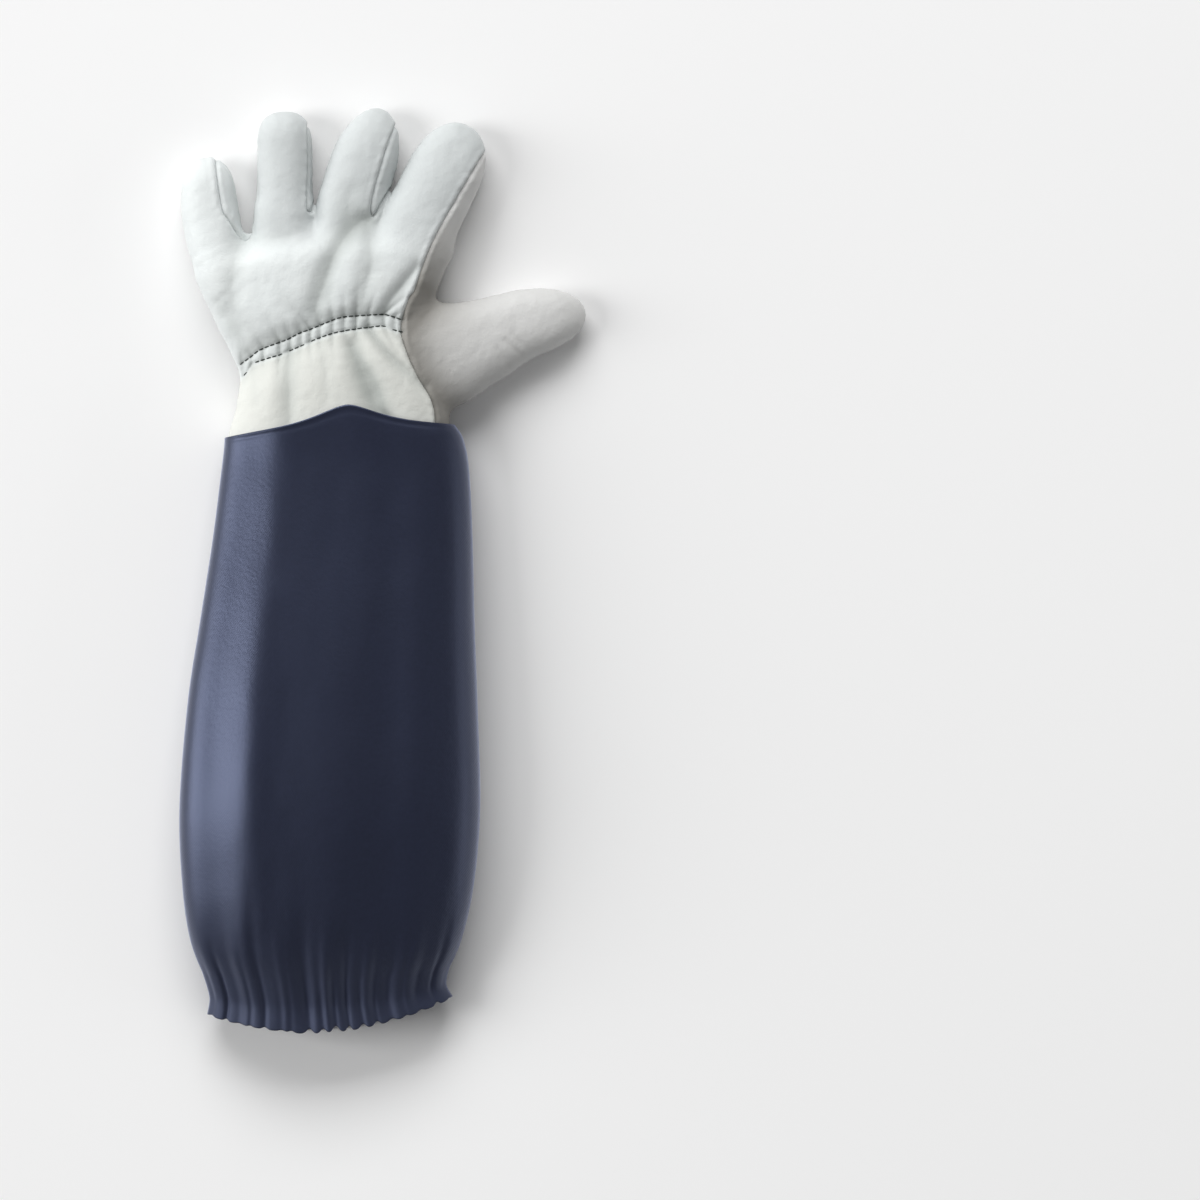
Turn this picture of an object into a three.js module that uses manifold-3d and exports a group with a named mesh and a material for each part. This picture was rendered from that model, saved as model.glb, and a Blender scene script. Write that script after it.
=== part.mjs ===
// A long leather work glove with a canvas sleeve, for the left hand.
// It lies palm down on the plane z = 0: fingers towards +Y, thumb towards +X, back of the hand up.
// All sizes are in millimetres. Origin: on the plane, under the middle of the glove.

import * as THREE from 'three';
import { LoftGeometry } from 'three/addons/geometries/LoftGeometry.js';
import { mergeVertices } from 'three/addons/utils/BufferGeometryUtils.js';
import Module from 'manifold-3d';

// Material thicknesses and the clearance between two sewn pieces
const LEATHER = 1.6;
const CANVAS = 1.2;
const TAPE = 1.0;
const SEAM_GAP = 0.3;

// Cross sections: the widest level as a share of the height, and the roundness of the upper and lower halves
const WIDEST_LEVEL = 0.42;
const UPPER_ROUNDNESS = 2.4;
const LOWER_ROUNDNESS = 4;
const FLATTENING = 1.06;

// Levels of the seams above the plane
const PALM_SEAM_LEVEL = 5;
const THUMB_SEAM_LEVEL = 10;
const ABOVE_ALL = 80;
const BELOW_ALL = -1;

// Fingers and thumb. Each row is a section across the digit: its middle, its half width and its top.
// The last row is the tip; dome is the length of the rounded end and roundness its squareness.
// seamRoot and seamTip are the distances of the side seam from the middle line.
const DIGITS = {
  little: {
    dome: 18, roundness: 2.2, seamRoot: 12.5, seamTip: 5,
    rows: [
      { x: -76, y: 138, half: 9, top: 27 },
      { x: -85.2, y: 163.6, half: 14.4, top: 30 },
      { x: -91.6, y: 189, half: 15.2, top: 27 },
      { x: -93.6, y: 219.5, half: 13.2, top: 24 },
    ],
  },
  ring: {
    dome: 17, roundness: 2.5, seamRoot: 12.8, seamTip: 12.8,
    rows: [
      { x: -52, y: 148, half: 13, top: 30 },
      { x: -52, y: 184, half: 16.6, top: 31 },
      { x: -51.9, y: 205, half: 14.6, top: 28 },
      { x: -51.9, y: 244, half: 14.3, top: 25 },
    ],
  },
  middle: {
    dome: 33, roundness: 2, seamRoot: 11.3, seamTip: 10,
    rows: [
      { x: -19.5, y: 148, half: 14, top: 31 },
      { x: -17, y: 184, half: 18.6, top: 32 },
      { x: -13.2, y: 206, half: 18, top: 29 },
      { x: -0.4, y: 245.5, half: 17.2, top: 26 },
    ],
  },
  index: {
    dome: 34, roundness: 2.2, seamRoot: 10.9, seamTip: 15,
    rows: [
      { x: 8, y: 148, half: 14, top: 30 },
      { x: 16.2, y: 175.3, half: 20.6, top: 33 },
      { x: 27, y: 199, half: 20, top: 29 },
      { x: 46, y: 236.6, half: 20.2, top: 25 },
    ],
  },
  thumb: {
    dome: 26, roundness: 2.1, seamRoot: 20, seamTip: 10,
    rows: [
      { x: 12, y: 108, half: 22, top: 26 },
      { x: 31, y: 114, half: 28, top: 29 },
      { x: 53, y: 121.5, half: 23, top: 28 },
      { x: 76, y: 131, half: 18, top: 25 },
      { x: 108, y: 137.5, half: 15, top: 21 },
    ],
  },
};

// The hand from the end of the cuff to the finger roots. Each row is a section that runs across the hand
// from its left to its right end; bow bends it towards the fingers in the middle.
const HAND_ROWS = [
  { leftX: -81.6, leftY: 56, rightX: 36.5, rightY: 60, bow: 6, top: 38, bottom: 1.9 },
  { leftX: -81.4, leftY: 71, rightX: 36.2, rightY: 77, bow: 7, top: 38.5, bottom: 1.9 },
  { leftX: -77.2, leftY: 88, rightX: 34.5, rightY: 98, bow: 9, top: 37.5, bottom: 0 },
  { leftX: -75.6, leftY: 104, rightX: 28.5, rightY: 122, bow: 13, top: 31.5, bottom: 0 },
  { leftX: -83, leftY: 120, rightX: 26.8, rightY: 138, bow: 10, top: 36, bottom: 0 },
  { leftX: -92, leftY: 140, rightX: 31, rightY: 154, bow: 7, top: 37.5, bottom: 0 },
  { leftX: -98, leftY: 157, rightX: 36.5, rightY: 168, bow: 8, top: 36, bottom: 0 },
  { leftX: -97, leftY: 167, rightX: 36, rightY: 180, bow: 13, top: 24, bottom: 4 },
];
const ELASTIC_ROW = 3;

// Wrist gathers: how many across the back, how high they stand and how far they fade out, in rows
const WRIST_GATHERS = 15;
const WRIST_GATHER_HEIGHT = 1.3;
const WRIST_GATHER_FADE = 0.55;

// The elastic tape along the gathered row: width, lowest level and ends, from -1 to 1 across the hand
const ELASTIC_WIDTH = 8;
const ELASTIC_LEVEL = 16;
const ELASTIC_LEFT = -0.86;
const ELASTIC_RIGHT = 0.62;

// Folds in the leather: a straight valley from one point to another on the back of the hand
const LEATHER_FOLDS = [
  { fromX: -12, fromY: 184, toX: -38, toY: 139, width: 6, depth: 3.2 },
  { fromX: -7, fromY: 184, toX: -9, toY: 140, width: 5, depth: 2.6 },
  { fromX: -74, fromY: 172, toX: -78, toY: 136, width: 5, depth: 2.4 },
  { fromX: -68, fromY: 174, toX: -46, toY: 176, width: 5, depth: 1.2 },
  { fromX: -18, fromY: 122, toX: 0, toY: 94, width: 4.5, depth: 2.8 },
  { fromX: -6, fromY: 126, toX: 22, toY: 98, width: 5, depth: 2 },
  { fromX: -49, fromY: 112, toX: -48, toY: 84, width: 4.5, depth: 1.8 },
];

// The seam between the back and the palm side on the thumb side, from the index finger down to the cuff
const SIDE_SEAM = [
  { x: 27.4, y: 173.7 },
  { x: 16.2, y: 143.4 },
  { x: 12, y: 124.8 },
  { x: 20, y: 103.5 },
  { x: 28.5, y: 84.9 },
  { x: 28.5, y: 50 },
];

// Where the side panels begin and end, as shares of a digit's length from its root
const FOURCHETTE_START = 0.3;
const FOURCHETTE_END = 0.99;
const THUMB_PANEL_START = 0.28;
const PAST_TIP = 1.1;
const SIDE_MARGIN = 6;
const SEAM_MARGIN = 2;
const HAND_MARGIN = 30;

// The crotches between the fingers, from the index finger to the little finger
const CROTCHES = [
  { x: -4, y: 190 },
  { x: -36.5, y: 189 },
  { x: -73.5, y: 177 },
];

// The sleeve from the hem casing up to its top edge, in the same columns as the hand's rows
const SLEEVE_ROWS = [
  { leftX: -95.3, leftY: -215.5, rightX: 36.3, rightY: -212, bow: -6, top: 37.5, bottom: 0 },
  { leftX: -102, leftY: -197, rightX: 42.6, rightY: -197, bow: -5, top: 44, bottom: 0 },
  { leftX: -106, leftY: -168, rightX: 49, rightY: -168, bow: -3, top: 50, bottom: 0 },
  { leftX: -107.4, leftY: -126, rightX: 52.5, rightY: -126, bow: 0, top: 54, bottom: 0 },
  { leftX: -103, leftY: -70, rightX: 51, rightY: -70, bow: 0, top: 52, bottom: 0 },
  { leftX: -96.5, leftY: -27, rightX: 49.4, rightY: -27, bow: 0, top: 49, bottom: 0 },
  { leftX: -90, leftY: 15.5, rightX: 48.4, rightY: 15.5, bow: 0, top: 45, bottom: 0 },
  { leftX: -85.4, leftY: 52, rightX: 46.6, rightY: 52, bow: 2, top: 42, bottom: 0 },
  { leftX: -84, leftY: 64, rightX: 43.6, rightY: 69, bow: 4, top: 41.4, bottom: 0 },
  { leftX: -83.6, leftY: 70, rightX: 38.8, rightY: 77, bow: 4, top: 41.2, bottom: 0 },
];

// The peak of the sleeve's top edge over the back of the wrist, and how it widens
const EDGE_PEAK = 9;
const EDGE_PEAK_WIDTH = 0.34;

// Lengthwise folds of the sleeve: place across it from -1 to 1, width, and depth at the top, middle and hem
const SLEEVE_MIDDLE = 0.4;
const SLEEVE_FOLDS = [
  { place: -0.78, width: 0.13, top: 0.4, middle: 2.6, hem: 2.4 },
  { place: -0.5, width: 0.11, top: -0.2, middle: -1.4, hem: -0.8 },
  { place: 0.34, width: 0.13, top: 0.6, middle: 5, hem: 4.2 },
  { place: 0.72, width: 0.2, top: 0.4, middle: 3, hem: 2.2 },
];

// The hem casing from its open edge up to the sleeve
const HEM_ROWS = [
  { leftX: -93.2, leftY: -236.5, rightX: 38, rightY: -227, bow: -12.5, top: 36.5, bottom: 0 },
  { leftX: -92, leftY: -227.5, rightX: 34.6, rightY: -220.5, bow: -8, top: 33, bottom: 0 },
  { leftX: -95.2, leftY: -216, rightX: 36.2, rightY: -212.5, bow: -6, top: 37.2, bottom: 0 },
];

// Gathers of the hem, counted across one side, their height at the edge, and the wave of the open edge
const HEM_GATHERS = 17;
const HEM_GATHER_HEIGHT = 1.5;
const HEM_EDGE_WAVE = 1.4;
// Every third gather runs on up the sleeve as a soft fold
const SLEEVE_GATHERS = 6;
const SLEEVE_GATHER_HEIGHT = 1.6;
const SLEEVE_GATHER_FADE = 1.6;

// Points across the upper and the lower half of a section, and the stations along each form
const DIGIT_MESH = { upper: 8, lower: 4 };
const HAND_MESH = { upper: 56, lower: 8 };
const INNER_HAND_MESH = { upper: 26, lower: 8 };
const SLEEVE_MESH = { upper: 34, lower: 10, stations: 1 };
const HEM_MESH = { upper: 68, lower: 26, stations: 2 };
const DIGIT_STATIONS = 3;
const DOME_STATIONS = 4;
const HAND_STATIONS = [0, 1, 2, 2.5, 3, 3.5, 4, 5, 6, 6.5, 7];
const TIP_SHARE = 0.985;
const AXIS_STEPS = 8;
const SEAM_STEPS = 14;
const ELASTIC_STEPS = 6;

// How evenly the points spread across a section: 1 is even, 0 crowds them at its two ends
const EVEN_SHARE = 0.65;

// How far the hollow runs on past the end of the leather cuff
const CUFF_OPENING = 10;

const wasm = await Module();
wasm.setup();

// A value of a table column between its rows, on a smooth curve through all of them
function between(rows, place, column) {
  const last = rows.length - 1;
  const start = Math.min(Math.floor(place), last - 1);
  const t = place - start;
  const at = (i) => rows[Math.min(Math.max(i, 0), last)][column];
  const before = at(start - 1);
  const from = at(start);
  const to = at(start + 1);
  const after = at(start + 2);
  return 0.5 * (2 * from + (to - before) * t
    + (2 * before - 5 * from + 4 * to - after) * t * t
    + (3 * from - before - 3 * to + after) * t * t * t);
}

// All columns of a table at a place between its rows
function rowAt(rows, place) {
  const row = {};
  for (const column of Object.keys(rows[0])) {
    row[column] = between(rows, place, column);
  }
  return row;
}

// How far a hump has faded at a distance from its middle
function fade(distance, width) {
  return Math.exp(-((distance / width) ** 2));
}

// A half section's height from its widest level, at a place across it from -1 to 1
function crown(across, roundness) {
  return Math.pow(Math.max(0, 1 - Math.abs(across) ** roundness), 1 / roundness);
}

// The top and bottom level of a section at a place across it
function upperLevel(size, across) {
  return size.widest + (size.top - size.widest) * crown(across, UPPER_ROUNDNESS);
}

function lowerLevel(size, across) {
  const drop = (size.widest - size.bottom) * FLATTENING * crown(across, LOWER_ROUNDNESS);
  return Math.max(size.bottom, size.widest - drop);
}

// The places round a section: over the top from the left to the right end, and back underneath
function placesAround(mesh) {
  const places = [];
  const across = (share) => EVEN_SHARE * share + (1 - EVEN_SHARE) * Math.sin(share * Math.PI / 2);
  for (let i = 0; i < mesh.upper; i++) {
    places.push({ across: across(2 * i / mesh.upper - 1), upper: true });
  }
  for (let i = 0; i < mesh.lower; i++) {
    places.push({ across: across(1 - 2 * i / mesh.lower), upper: false });
  }
  return places;
}

// The depth of the leather's folds at a point of the back of the hand
function leatherFoldDepth(x, y) {
  let depth = 0;
  for (const fold of LEATHER_FOLDS) {
    const runX = fold.toX - fold.fromX;
    const runY = fold.toY - fold.fromY;
    const share = ((x - fold.fromX) * runX + (y - fold.fromY) * runY) / (runX ** 2 + runY ** 2);
    const nearest = Math.min(Math.max(share, 0), 1);
    const distance = Math.hypot(x - fold.fromX - nearest * runX, y - fold.fromY - nearest * runY);
    depth += fold.depth * fade(distance, fold.width);
  }
  return depth;
}

// One section across a finger or the thumb
function digitSection(digit, axis, along, inset, length) {
  const place = axis.place(along);
  const row = rowAt(digit.rows, place);
  const beyond = Math.max(0, (along - (length - digit.dome)) / (digit.dome - inset));
  const scale = crown(Math.min(beyond, TIP_SHARE), digit.roundness);
  const middle = axis.curve.getPoint(place / (digit.rows.length - 1));
  const ahead = axis.curve.getTangent(place / (digit.rows.length - 1));
  const size = { widest: row.top * WIDEST_LEVEL };
  size.top = size.widest + (row.top - inset - size.widest) * scale;
  size.bottom = size.widest - (size.widest - inset) * scale;
  const half = (row.half - inset) * scale;
  return placesAround(DIGIT_MESH).map(({ across, upper }) => {
    const x = middle.x + ahead.y * half * across;
    const y = middle.y - ahead.x * half * across;
    const fold = upper ? leatherFoldDepth(x, y) * scale * crown(across, 2) : 0;
    const z = upper ? upperLevel(size, across) - fold : lowerLevel(size, across);
    return new THREE.Vector3(x, y, z);
  });
}

// The middle line of a digit: a smooth curve through its rows, and the row place at a distance along it
function digitAxis(digit) {
  const curve = new THREE.CatmullRomCurve3(digit.rows.map((row) => new THREE.Vector3(row.x, row.y, 0)));
  const length = curve.getLength();
  const place = (along) => curve.getUtoTmapping(along / length) * (digit.rows.length - 1);
  return { curve, length, place };
}

// The solid of a digit, its surface moved inwards by the inset
function digitSolid(digit, inset) {
  const axis = digitAxis(digit);
  const body = axis.length - digit.dome;
  const sections = [];
  for (let i = 0; i < DIGIT_STATIONS; i++) {
    sections.push(digitSection(digit, axis, body * i / DIGIT_STATIONS, inset, axis.length));
  }
  for (let i = 0; i <= DOME_STATIONS; i++) {
    const share = TIP_SHARE * Math.sin(i / DOME_STATIONS * Math.PI / 2);
    sections.push(digitSection(digit, axis, body + share * (digit.dome - inset), inset, axis.length));
  }
  return loftSolid(sections);
}

// The height of the wrist gathers at a place across the hand and along its rows
function wristGather(across, place) {
  const wave = 0.5 + 0.5 * Math.cos(Math.PI * WRIST_GATHERS * across);
  return WRIST_GATHER_HEIGHT * wave * fade(place - ELASTIC_ROW, WRIST_GATHER_FADE) * crown(across, 6);
}

// A row's size with its surface moved inwards by the inset
function insetSize(row, inset) {
  const bottom = Math.max(0, row.bottom);
  const widest = bottom + (row.top - bottom) * WIDEST_LEVEL;
  return { widest, top: row.top - inset, bottom: bottom + inset };
}

// A point of a bowed row, at a place across it, before it gets its level
function rowPoint(row, across, inset) {
  const share = (across + 1) / 2;
  const shrink = 1 - 2 * inset / (row.rightX - row.leftX);
  const middle = (row.leftX + row.rightX) / 2;
  const x = middle + (row.rightX - row.leftX) / 2 * across * shrink;
  const y = row.leftY + (row.rightY - row.leftY) * share + row.bow * (1 - across ** 2);
  return new THREE.Vector3(x, y, 0);
}

// One section across the hand
function handSection(place, inset, gathered) {
  const row = rowAt(HAND_ROWS, place);
  const size = insetSize(row, inset);
  return placesAround(inset > 0 ? INNER_HAND_MESH : HAND_MESH).map(({ across, upper }) => {
    const point = rowPoint(row, across, inset);
    const fold = leatherFoldDepth(point.x, point.y) * crown(across, 2);
    const gather = gathered ? wristGather(across, place) : 0;
    point.z = upper ? upperLevel(size, across) - fold + gather : lowerLevel(size, across);
    return point;
  });
}

// The solid of the hand without its fingers; an opening runs on past the end of the cuff
function handSolid(inset, { gathered = false, opening = 0 } = {}) {
  const sections = [];
  if (opening > 0) {
    sections.push(handSection(0, inset, gathered).map((point) => point.setY(point.y - opening)));
  }
  for (const place of HAND_STATIONS) {
    sections.push(handSection(place, inset, gathered));
  }
  for (const point of sections[sections.length - 1]) {
    point.y -= inset;
  }
  return loftSolid(sections);
}

// The depth of the sleeve's lengthwise folds
function sleeveFoldDepth(across, place) {
  const share = place / (SLEEVE_ROWS.length - 1);
  const nearHem = share < SLEEVE_MIDDLE;
  const reach = nearHem ? SLEEVE_MIDDLE : 1 - SLEEVE_MIDDLE;
  const blend = Math.cos(Math.abs(share - SLEEVE_MIDDLE) / reach * Math.PI / 2) ** 2;
  let depth = 0;
  for (const fold of SLEEVE_FOLDS) {
    const end = nearHem ? fold.hem : fold.top;
    depth += (end + (fold.middle - end) * blend) * fade(across - fold.place, fold.width);
  }
  return depth;
}

// One ring of the sleeve
function sleeveSection(place, inset) {
  const row = rowAt(SLEEVE_ROWS, place);
  const size = insetSize(row, inset);
  const last = SLEEVE_ROWS.length - 1;
  return placesAround(SLEEVE_MESH).map(({ across, upper }) => {
    const point = rowPoint(row, across, inset);
    const level = crown(across, 2);
    const wave = Math.cos(Math.PI * SLEEVE_GATHERS * across);
    const gather = SLEEVE_GATHER_HEIGHT * wave * fade(place, SLEEVE_GATHER_FADE) * level;
    if (upper) {
      point.y += EDGE_PEAK * fade(across, EDGE_PEAK_WIDTH) * fade(place - last, 1);
      point.z = upperLevel(size, across) - sleeveFoldDepth(across, place) * level + gather;
    } else {
      point.z = lowerLevel(size, across);
    }
    return point;
  });
}

// One ring of the hem casing; the gathers grow and the edge waves towards the open end
function hemSection(place, inset) {
  const row = rowAt(HEM_ROWS, place);
  const size = insetSize(row, inset);
  const open = 1 - place / (HEM_ROWS.length - 1);
  return placesAround(HEM_MESH).map(({ across, upper }) => {
    const point = rowPoint(row, across, inset);
    const wave = Math.cos(Math.PI * HEM_GATHERS * across);
    const height = HEM_GATHER_HEIGHT * Math.sqrt(open) * wave;
    const fold = sleeveFoldDepth(across, 0) * crown(across, 2);
    const soft = SLEEVE_GATHER_HEIGHT * Math.cos(Math.PI * SLEEVE_GATHERS * across) * crown(across, 2);
    point.z = upper ? upperLevel(size, across) - fold + soft + height : lowerLevel(size, across);
    point.x += height * across ** 3;
    point.y -= HEM_EDGE_WAVE * wave * open;
    return point;
  });
}

// A closed tube of cloth: rings up its outside, over the edge and back down its inside
function tubeWall(rows, stations, section) {
  const last = (rows.length - 1) * stations;
  const sections = [];
  for (let i = 0; i <= last; i++) {
    sections.push(section(i / stations, 0));
  }
  for (let i = last; i >= 0; i--) {
    sections.push(section(i / stations, CANVAS));
  }
  sections.push(sections[0]);
  return loftSolid(sections, false);
}

// A solid from a geometry whose shared points are merged
function solidOf(geometry) {
  const bare = new THREE.BufferGeometry();
  bare.setAttribute('position', geometry.getAttribute('position'));
  bare.setIndex(geometry.index);
  const merged = mergeVertices(bare, 1e-4);
  return new wasm.Manifold(new wasm.Mesh({
    numProp: 3,
    vertProperties: new Float32Array(merged.attributes.position.array),
    triVerts: new Uint32Array(merged.index.array),
  }));
}

function loftSolid(sections, capped = true) {
  return solidOf(new LoftGeometry(sections, { capStart: capped, capEnd: capped }));
}

// An upright prism over an outline, from one level to another
function prism(outline, low, high) {
  const shape = new THREE.Shape(outline.map((point) => new THREE.Vector2(point.x, point.y)));
  const geometry = new THREE.ExtrudeGeometry(shape, { depth: high - low, bevelEnabled: false });
  geometry.translate(0, 0, low);
  return solidOf(geometry);
}

// An outline with every corner moved outwards; its points run counterclockwise
function grown(outline, distance) {
  return outline.map((point, i) => {
    const before = outline[(i + outline.length - 1) % outline.length];
    const after = outline[(i + 1) % outline.length];
    const normal = (from, to) => new THREE.Vector2(to.y - from.y, from.x - to.x).normalize();
    const first = normal(before, point);
    const second = normal(point, after);
    const corner = first.clone().add(second).normalize();
    const reach = distance / Math.max(0.4, corner.dot(first));
    return { x: point.x + corner.x * reach, y: point.y + corner.y * reach };
  });
}

// Points beside a digit's middle line, at an offset to its right that changes from root to tip
function besideAxis(digit, atRoot, atTip, from = 0, to = 1) {
  const axis = digitAxis(digit);
  const points = [];
  for (let i = 0; i <= AXIS_STEPS; i++) {
    const share = from + (to - from) * i / AXIS_STEPS;
    const middle = axis.curve.getPointAt(Math.min(share, 1));
    const ahead = axis.curve.getTangentAt(Math.min(share, 1));
    const past = Math.max(0, share - 1) * axis.length;
    const offset = atRoot + (atTip - atRoot) * share;
    points.push({
      x: middle.x + ahead.y * offset + ahead.x * past,
      y: middle.y - ahead.x * offset + ahead.y * past,
    });
  }
  return points;
}

// The part of the back panel on one finger: from its left side to the seam on its right
function fingerBackOutline(digit) {
  const { half } = digit.rows[digit.rows.length - 1];
  const right = besideAxis(digit, digit.seamRoot, digit.seamTip, 0, PAST_TIP);
  const left = besideAxis(digit, -digit.rows[0].half, -half - SEAM_MARGIN, 0, PAST_TIP);
  return [...right, ...left.reverse()];
}

// The part of the back panel below the fingers, bounded by the seam on the thumb side
function handBackOutline() {
  const seam = new THREE.CatmullRomCurve3(SIDE_SEAM.map((point) => new THREE.Vector3(point.x, point.y, 0)));
  const cuff = SIDE_SEAM[SIDE_SEAM.length - 1].y;
  const beyond = HAND_ROWS[HAND_ROWS.length - 1].leftX - HAND_MARGIN;
  return [
    { x: beyond, y: cuff },
    ...seam.getPoints(SEAM_STEPS).reverse().map((point) => ({ x: point.x, y: point.y })),
    ...CROTCHES,
    { x: beyond, y: CROTCHES[CROTCHES.length - 1].y },
  ];
}

// The strip between two fingers: from the middle line of one to the middle line of the next
function fourchetteOutline(left, right) {
  const leftLine = besideAxis(left, 0, 0, FOURCHETTE_START, FOURCHETTE_END);
  const rightLine = besideAxis(right, 0, 0, FOURCHETTE_START, FOURCHETTE_END);
  return [...leftLine.reverse(), ...rightLine];
}

// The side towards the thumb: to the right of the index finger's middle line and of the palm below it
function sideOutline(index, thumb) {
  const fingerLine = besideAxis(index, 0, 0, 0, PAST_TIP);
  const tip = fingerLine[fingerLine.length - 1];
  const cuff = SIDE_SEAM[SIDE_SEAM.length - 1].y;
  const beyond = thumb.rows[thumb.rows.length - 1].x + HAND_MARGIN;
  return [
    { x: index.rows[0].x, y: cuff },
    { x: beyond, y: cuff },
    { x: beyond, y: tip.y },
    ...fingerLine.reverse(),
  ];
}

// The underside of the thumb
function thumbOutline(digit) {
  const { half } = digit.rows[0];
  const right = besideAxis(digit, half + SIDE_MARGIN, half, THUMB_PANEL_START, PAST_TIP);
  const left = besideAxis(digit, -half - SIDE_MARGIN, -half, THUMB_PANEL_START, PAST_TIP);
  return [...right, ...left.reverse()];
}

// The band of elastic tape along the gathered row of the hand
function elasticOutline() {
  const lower = [];
  const upper = [];
  for (let i = 0; i <= ELASTIC_STEPS; i++) {
    const across = ELASTIC_LEFT + (ELASTIC_RIGHT - ELASTIC_LEFT) * i / ELASTIC_STEPS;
    const point = rowPoint(HAND_ROWS[ELASTIC_ROW], across, 0);
    lower.push({ x: point.x, y: point.y - ELASTIC_WIDTH / 2 });
    upper.push({ x: point.x, y: point.y + ELASTIC_WIDTH / 2 });
  }
  return [...lower, ...upper.reverse()];
}

// The largest of the bodies that a cut leaves
function largest(solid) {
  return solid.decompose().sort((a, b) => b.volume() - a.volume())[0];
}

// The hand's shell, and the panels that are cut from it one after another
function makeHandPanels() {
  const digits = Object.values(DIGITS);
  let outside = handSolid(0, { gathered: true });
  let inside = handSolid(LEATHER, { opening: CUFF_OPENING });
  for (const digit of digits) {
    outside = outside.add(digitSolid(digit, 0));
    inside = inside.add(digitSolid(digit, LEATHER));
  }
  let leather = outside.subtract(inside);

  const cutPanel = (outlines, low, high) => {
    const region = outlines.map((outline) => prism(outline, low, high)).reduce((a, b) => a.add(b));
    const wider = outlines.map((outline) => prism(grown(outline, SEAM_GAP), low - SEAM_GAP, high + SEAM_GAP));
    const panel = largest(leather.intersect(region));
    leather = leather.subtract(wider.reduce((a, b) => a.add(b)));
    return panel;
  };

  const { little, ring, middle, index, thumb } = DIGITS;
  const backOutlines = [handBackOutline(), ...[little, ring, middle, index].map(fingerBackOutline)];
  const panels = {};
  panels.back_panel = cutPanel(backOutlines, PALM_SEAM_LEVEL, ABOVE_ALL);
  panels.fourchette_little_ring = cutPanel([fourchetteOutline(little, ring)], PALM_SEAM_LEVEL, ABOVE_ALL);
  panels.fourchette_ring_middle = cutPanel([fourchetteOutline(ring, middle)], PALM_SEAM_LEVEL, ABOVE_ALL);
  panels.fourchette_middle_index = cutPanel([fourchetteOutline(middle, index)], PALM_SEAM_LEVEL, ABOVE_ALL);
  panels.thumb_panel = cutPanel([thumbOutline(thumb)], BELOW_ALL, THUMB_SEAM_LEVEL);
  panels.side_panel = cutPanel([sideOutline(index, thumb)], PALM_SEAM_LEVEL, ABOVE_ALL);
  panels.palm_panel = largest(leather);
  return panels;
}

// The elastic tape lies against the inside of the back panel
function makeElastic() {
  const outside = handSolid(LEATHER + SEAM_GAP);
  const inside = handSolid(LEATHER + SEAM_GAP + TAPE);
  const band = prism(elasticOutline(), ELASTIC_LEVEL, ABOVE_ALL);
  return largest(outside.subtract(inside).intersect(band));
}

// A named mesh from a finished solid
function meshOf(name, solid, material) {
  const mesh = solid.getMesh();
  const geometry = new THREE.BufferGeometry();
  geometry.setAttribute('position', new THREE.Float32BufferAttribute(mesh.vertProperties, 3));
  geometry.setIndex(Array.from(mesh.triVerts));
  geometry.computeVertexNormals();
  const node = new THREE.Mesh(geometry, material);
  node.name = name;
  return node;
}

const backLeather = new THREE.MeshStandardMaterial({ color: 0xe2e8e8, roughness: 0.6, metalness: 0 });
const palmLeather = new THREE.MeshStandardMaterial({ color: 0xc9cbc9, roughness: 0.65, metalness: 0 });
const canvas = new THREE.MeshStandardMaterial({ color: 0x2b2f48, roughness: 0.85, metalness: 0 });
const hemCanvas = new THREE.MeshStandardMaterial({ color: 0x1f2233, roughness: 0.85, metalness: 0 });
const elastic = new THREE.MeshStandardMaterial({ color: 0xd5d6d2, roughness: 0.8, metalness: 0 });

const glove = new THREE.Group();
for (const [name, solid] of Object.entries(makeHandPanels())) {
  const onPalmSide = ['palm_panel', 'thumb_panel', 'side_panel'].includes(name);
  glove.add(meshOf(name, solid, onPalmSide ? palmLeather : backLeather));
}
glove.add(meshOf('wrist_elastic', makeElastic(), elastic));
glove.add(meshOf('sleeve', tubeWall(SLEEVE_ROWS, SLEEVE_MESH.stations, sleeveSection), canvas));
glove.add(meshOf('hem_casing', tubeWall(HEM_ROWS, HEM_MESH.stations, hemSection), hemCanvas));

export default glove;
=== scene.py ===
"""The dressed model of a long leather work glove, with its floor, lights and camera.

The glove lies palm down: fingers towards +Y, thumb towards +X, back of the hand up.
Shapes are worked out in millimetres and turned into metres when a piece is made.
"""

import itertools
import math

import bpy
import numpy as np
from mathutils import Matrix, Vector
from mathutils.bvhtree import BVHTree
from mathutils.kdtree import KDTree

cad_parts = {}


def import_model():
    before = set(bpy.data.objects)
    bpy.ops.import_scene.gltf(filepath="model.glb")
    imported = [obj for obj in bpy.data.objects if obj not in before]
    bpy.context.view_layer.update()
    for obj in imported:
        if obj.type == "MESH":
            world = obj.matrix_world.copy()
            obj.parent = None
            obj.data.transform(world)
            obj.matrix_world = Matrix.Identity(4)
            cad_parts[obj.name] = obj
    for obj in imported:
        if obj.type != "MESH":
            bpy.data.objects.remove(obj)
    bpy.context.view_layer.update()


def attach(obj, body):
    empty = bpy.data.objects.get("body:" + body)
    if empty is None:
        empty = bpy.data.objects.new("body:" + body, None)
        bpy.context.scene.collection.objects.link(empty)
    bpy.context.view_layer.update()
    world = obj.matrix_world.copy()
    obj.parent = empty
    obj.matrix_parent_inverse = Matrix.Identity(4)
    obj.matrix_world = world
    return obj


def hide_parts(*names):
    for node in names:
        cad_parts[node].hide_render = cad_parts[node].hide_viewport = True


MM = 0.001
SEED = 7

# Wall thicknesses
LEATHER = 1.4
CANVAS = 1.2
TAPE = 1.0

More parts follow.
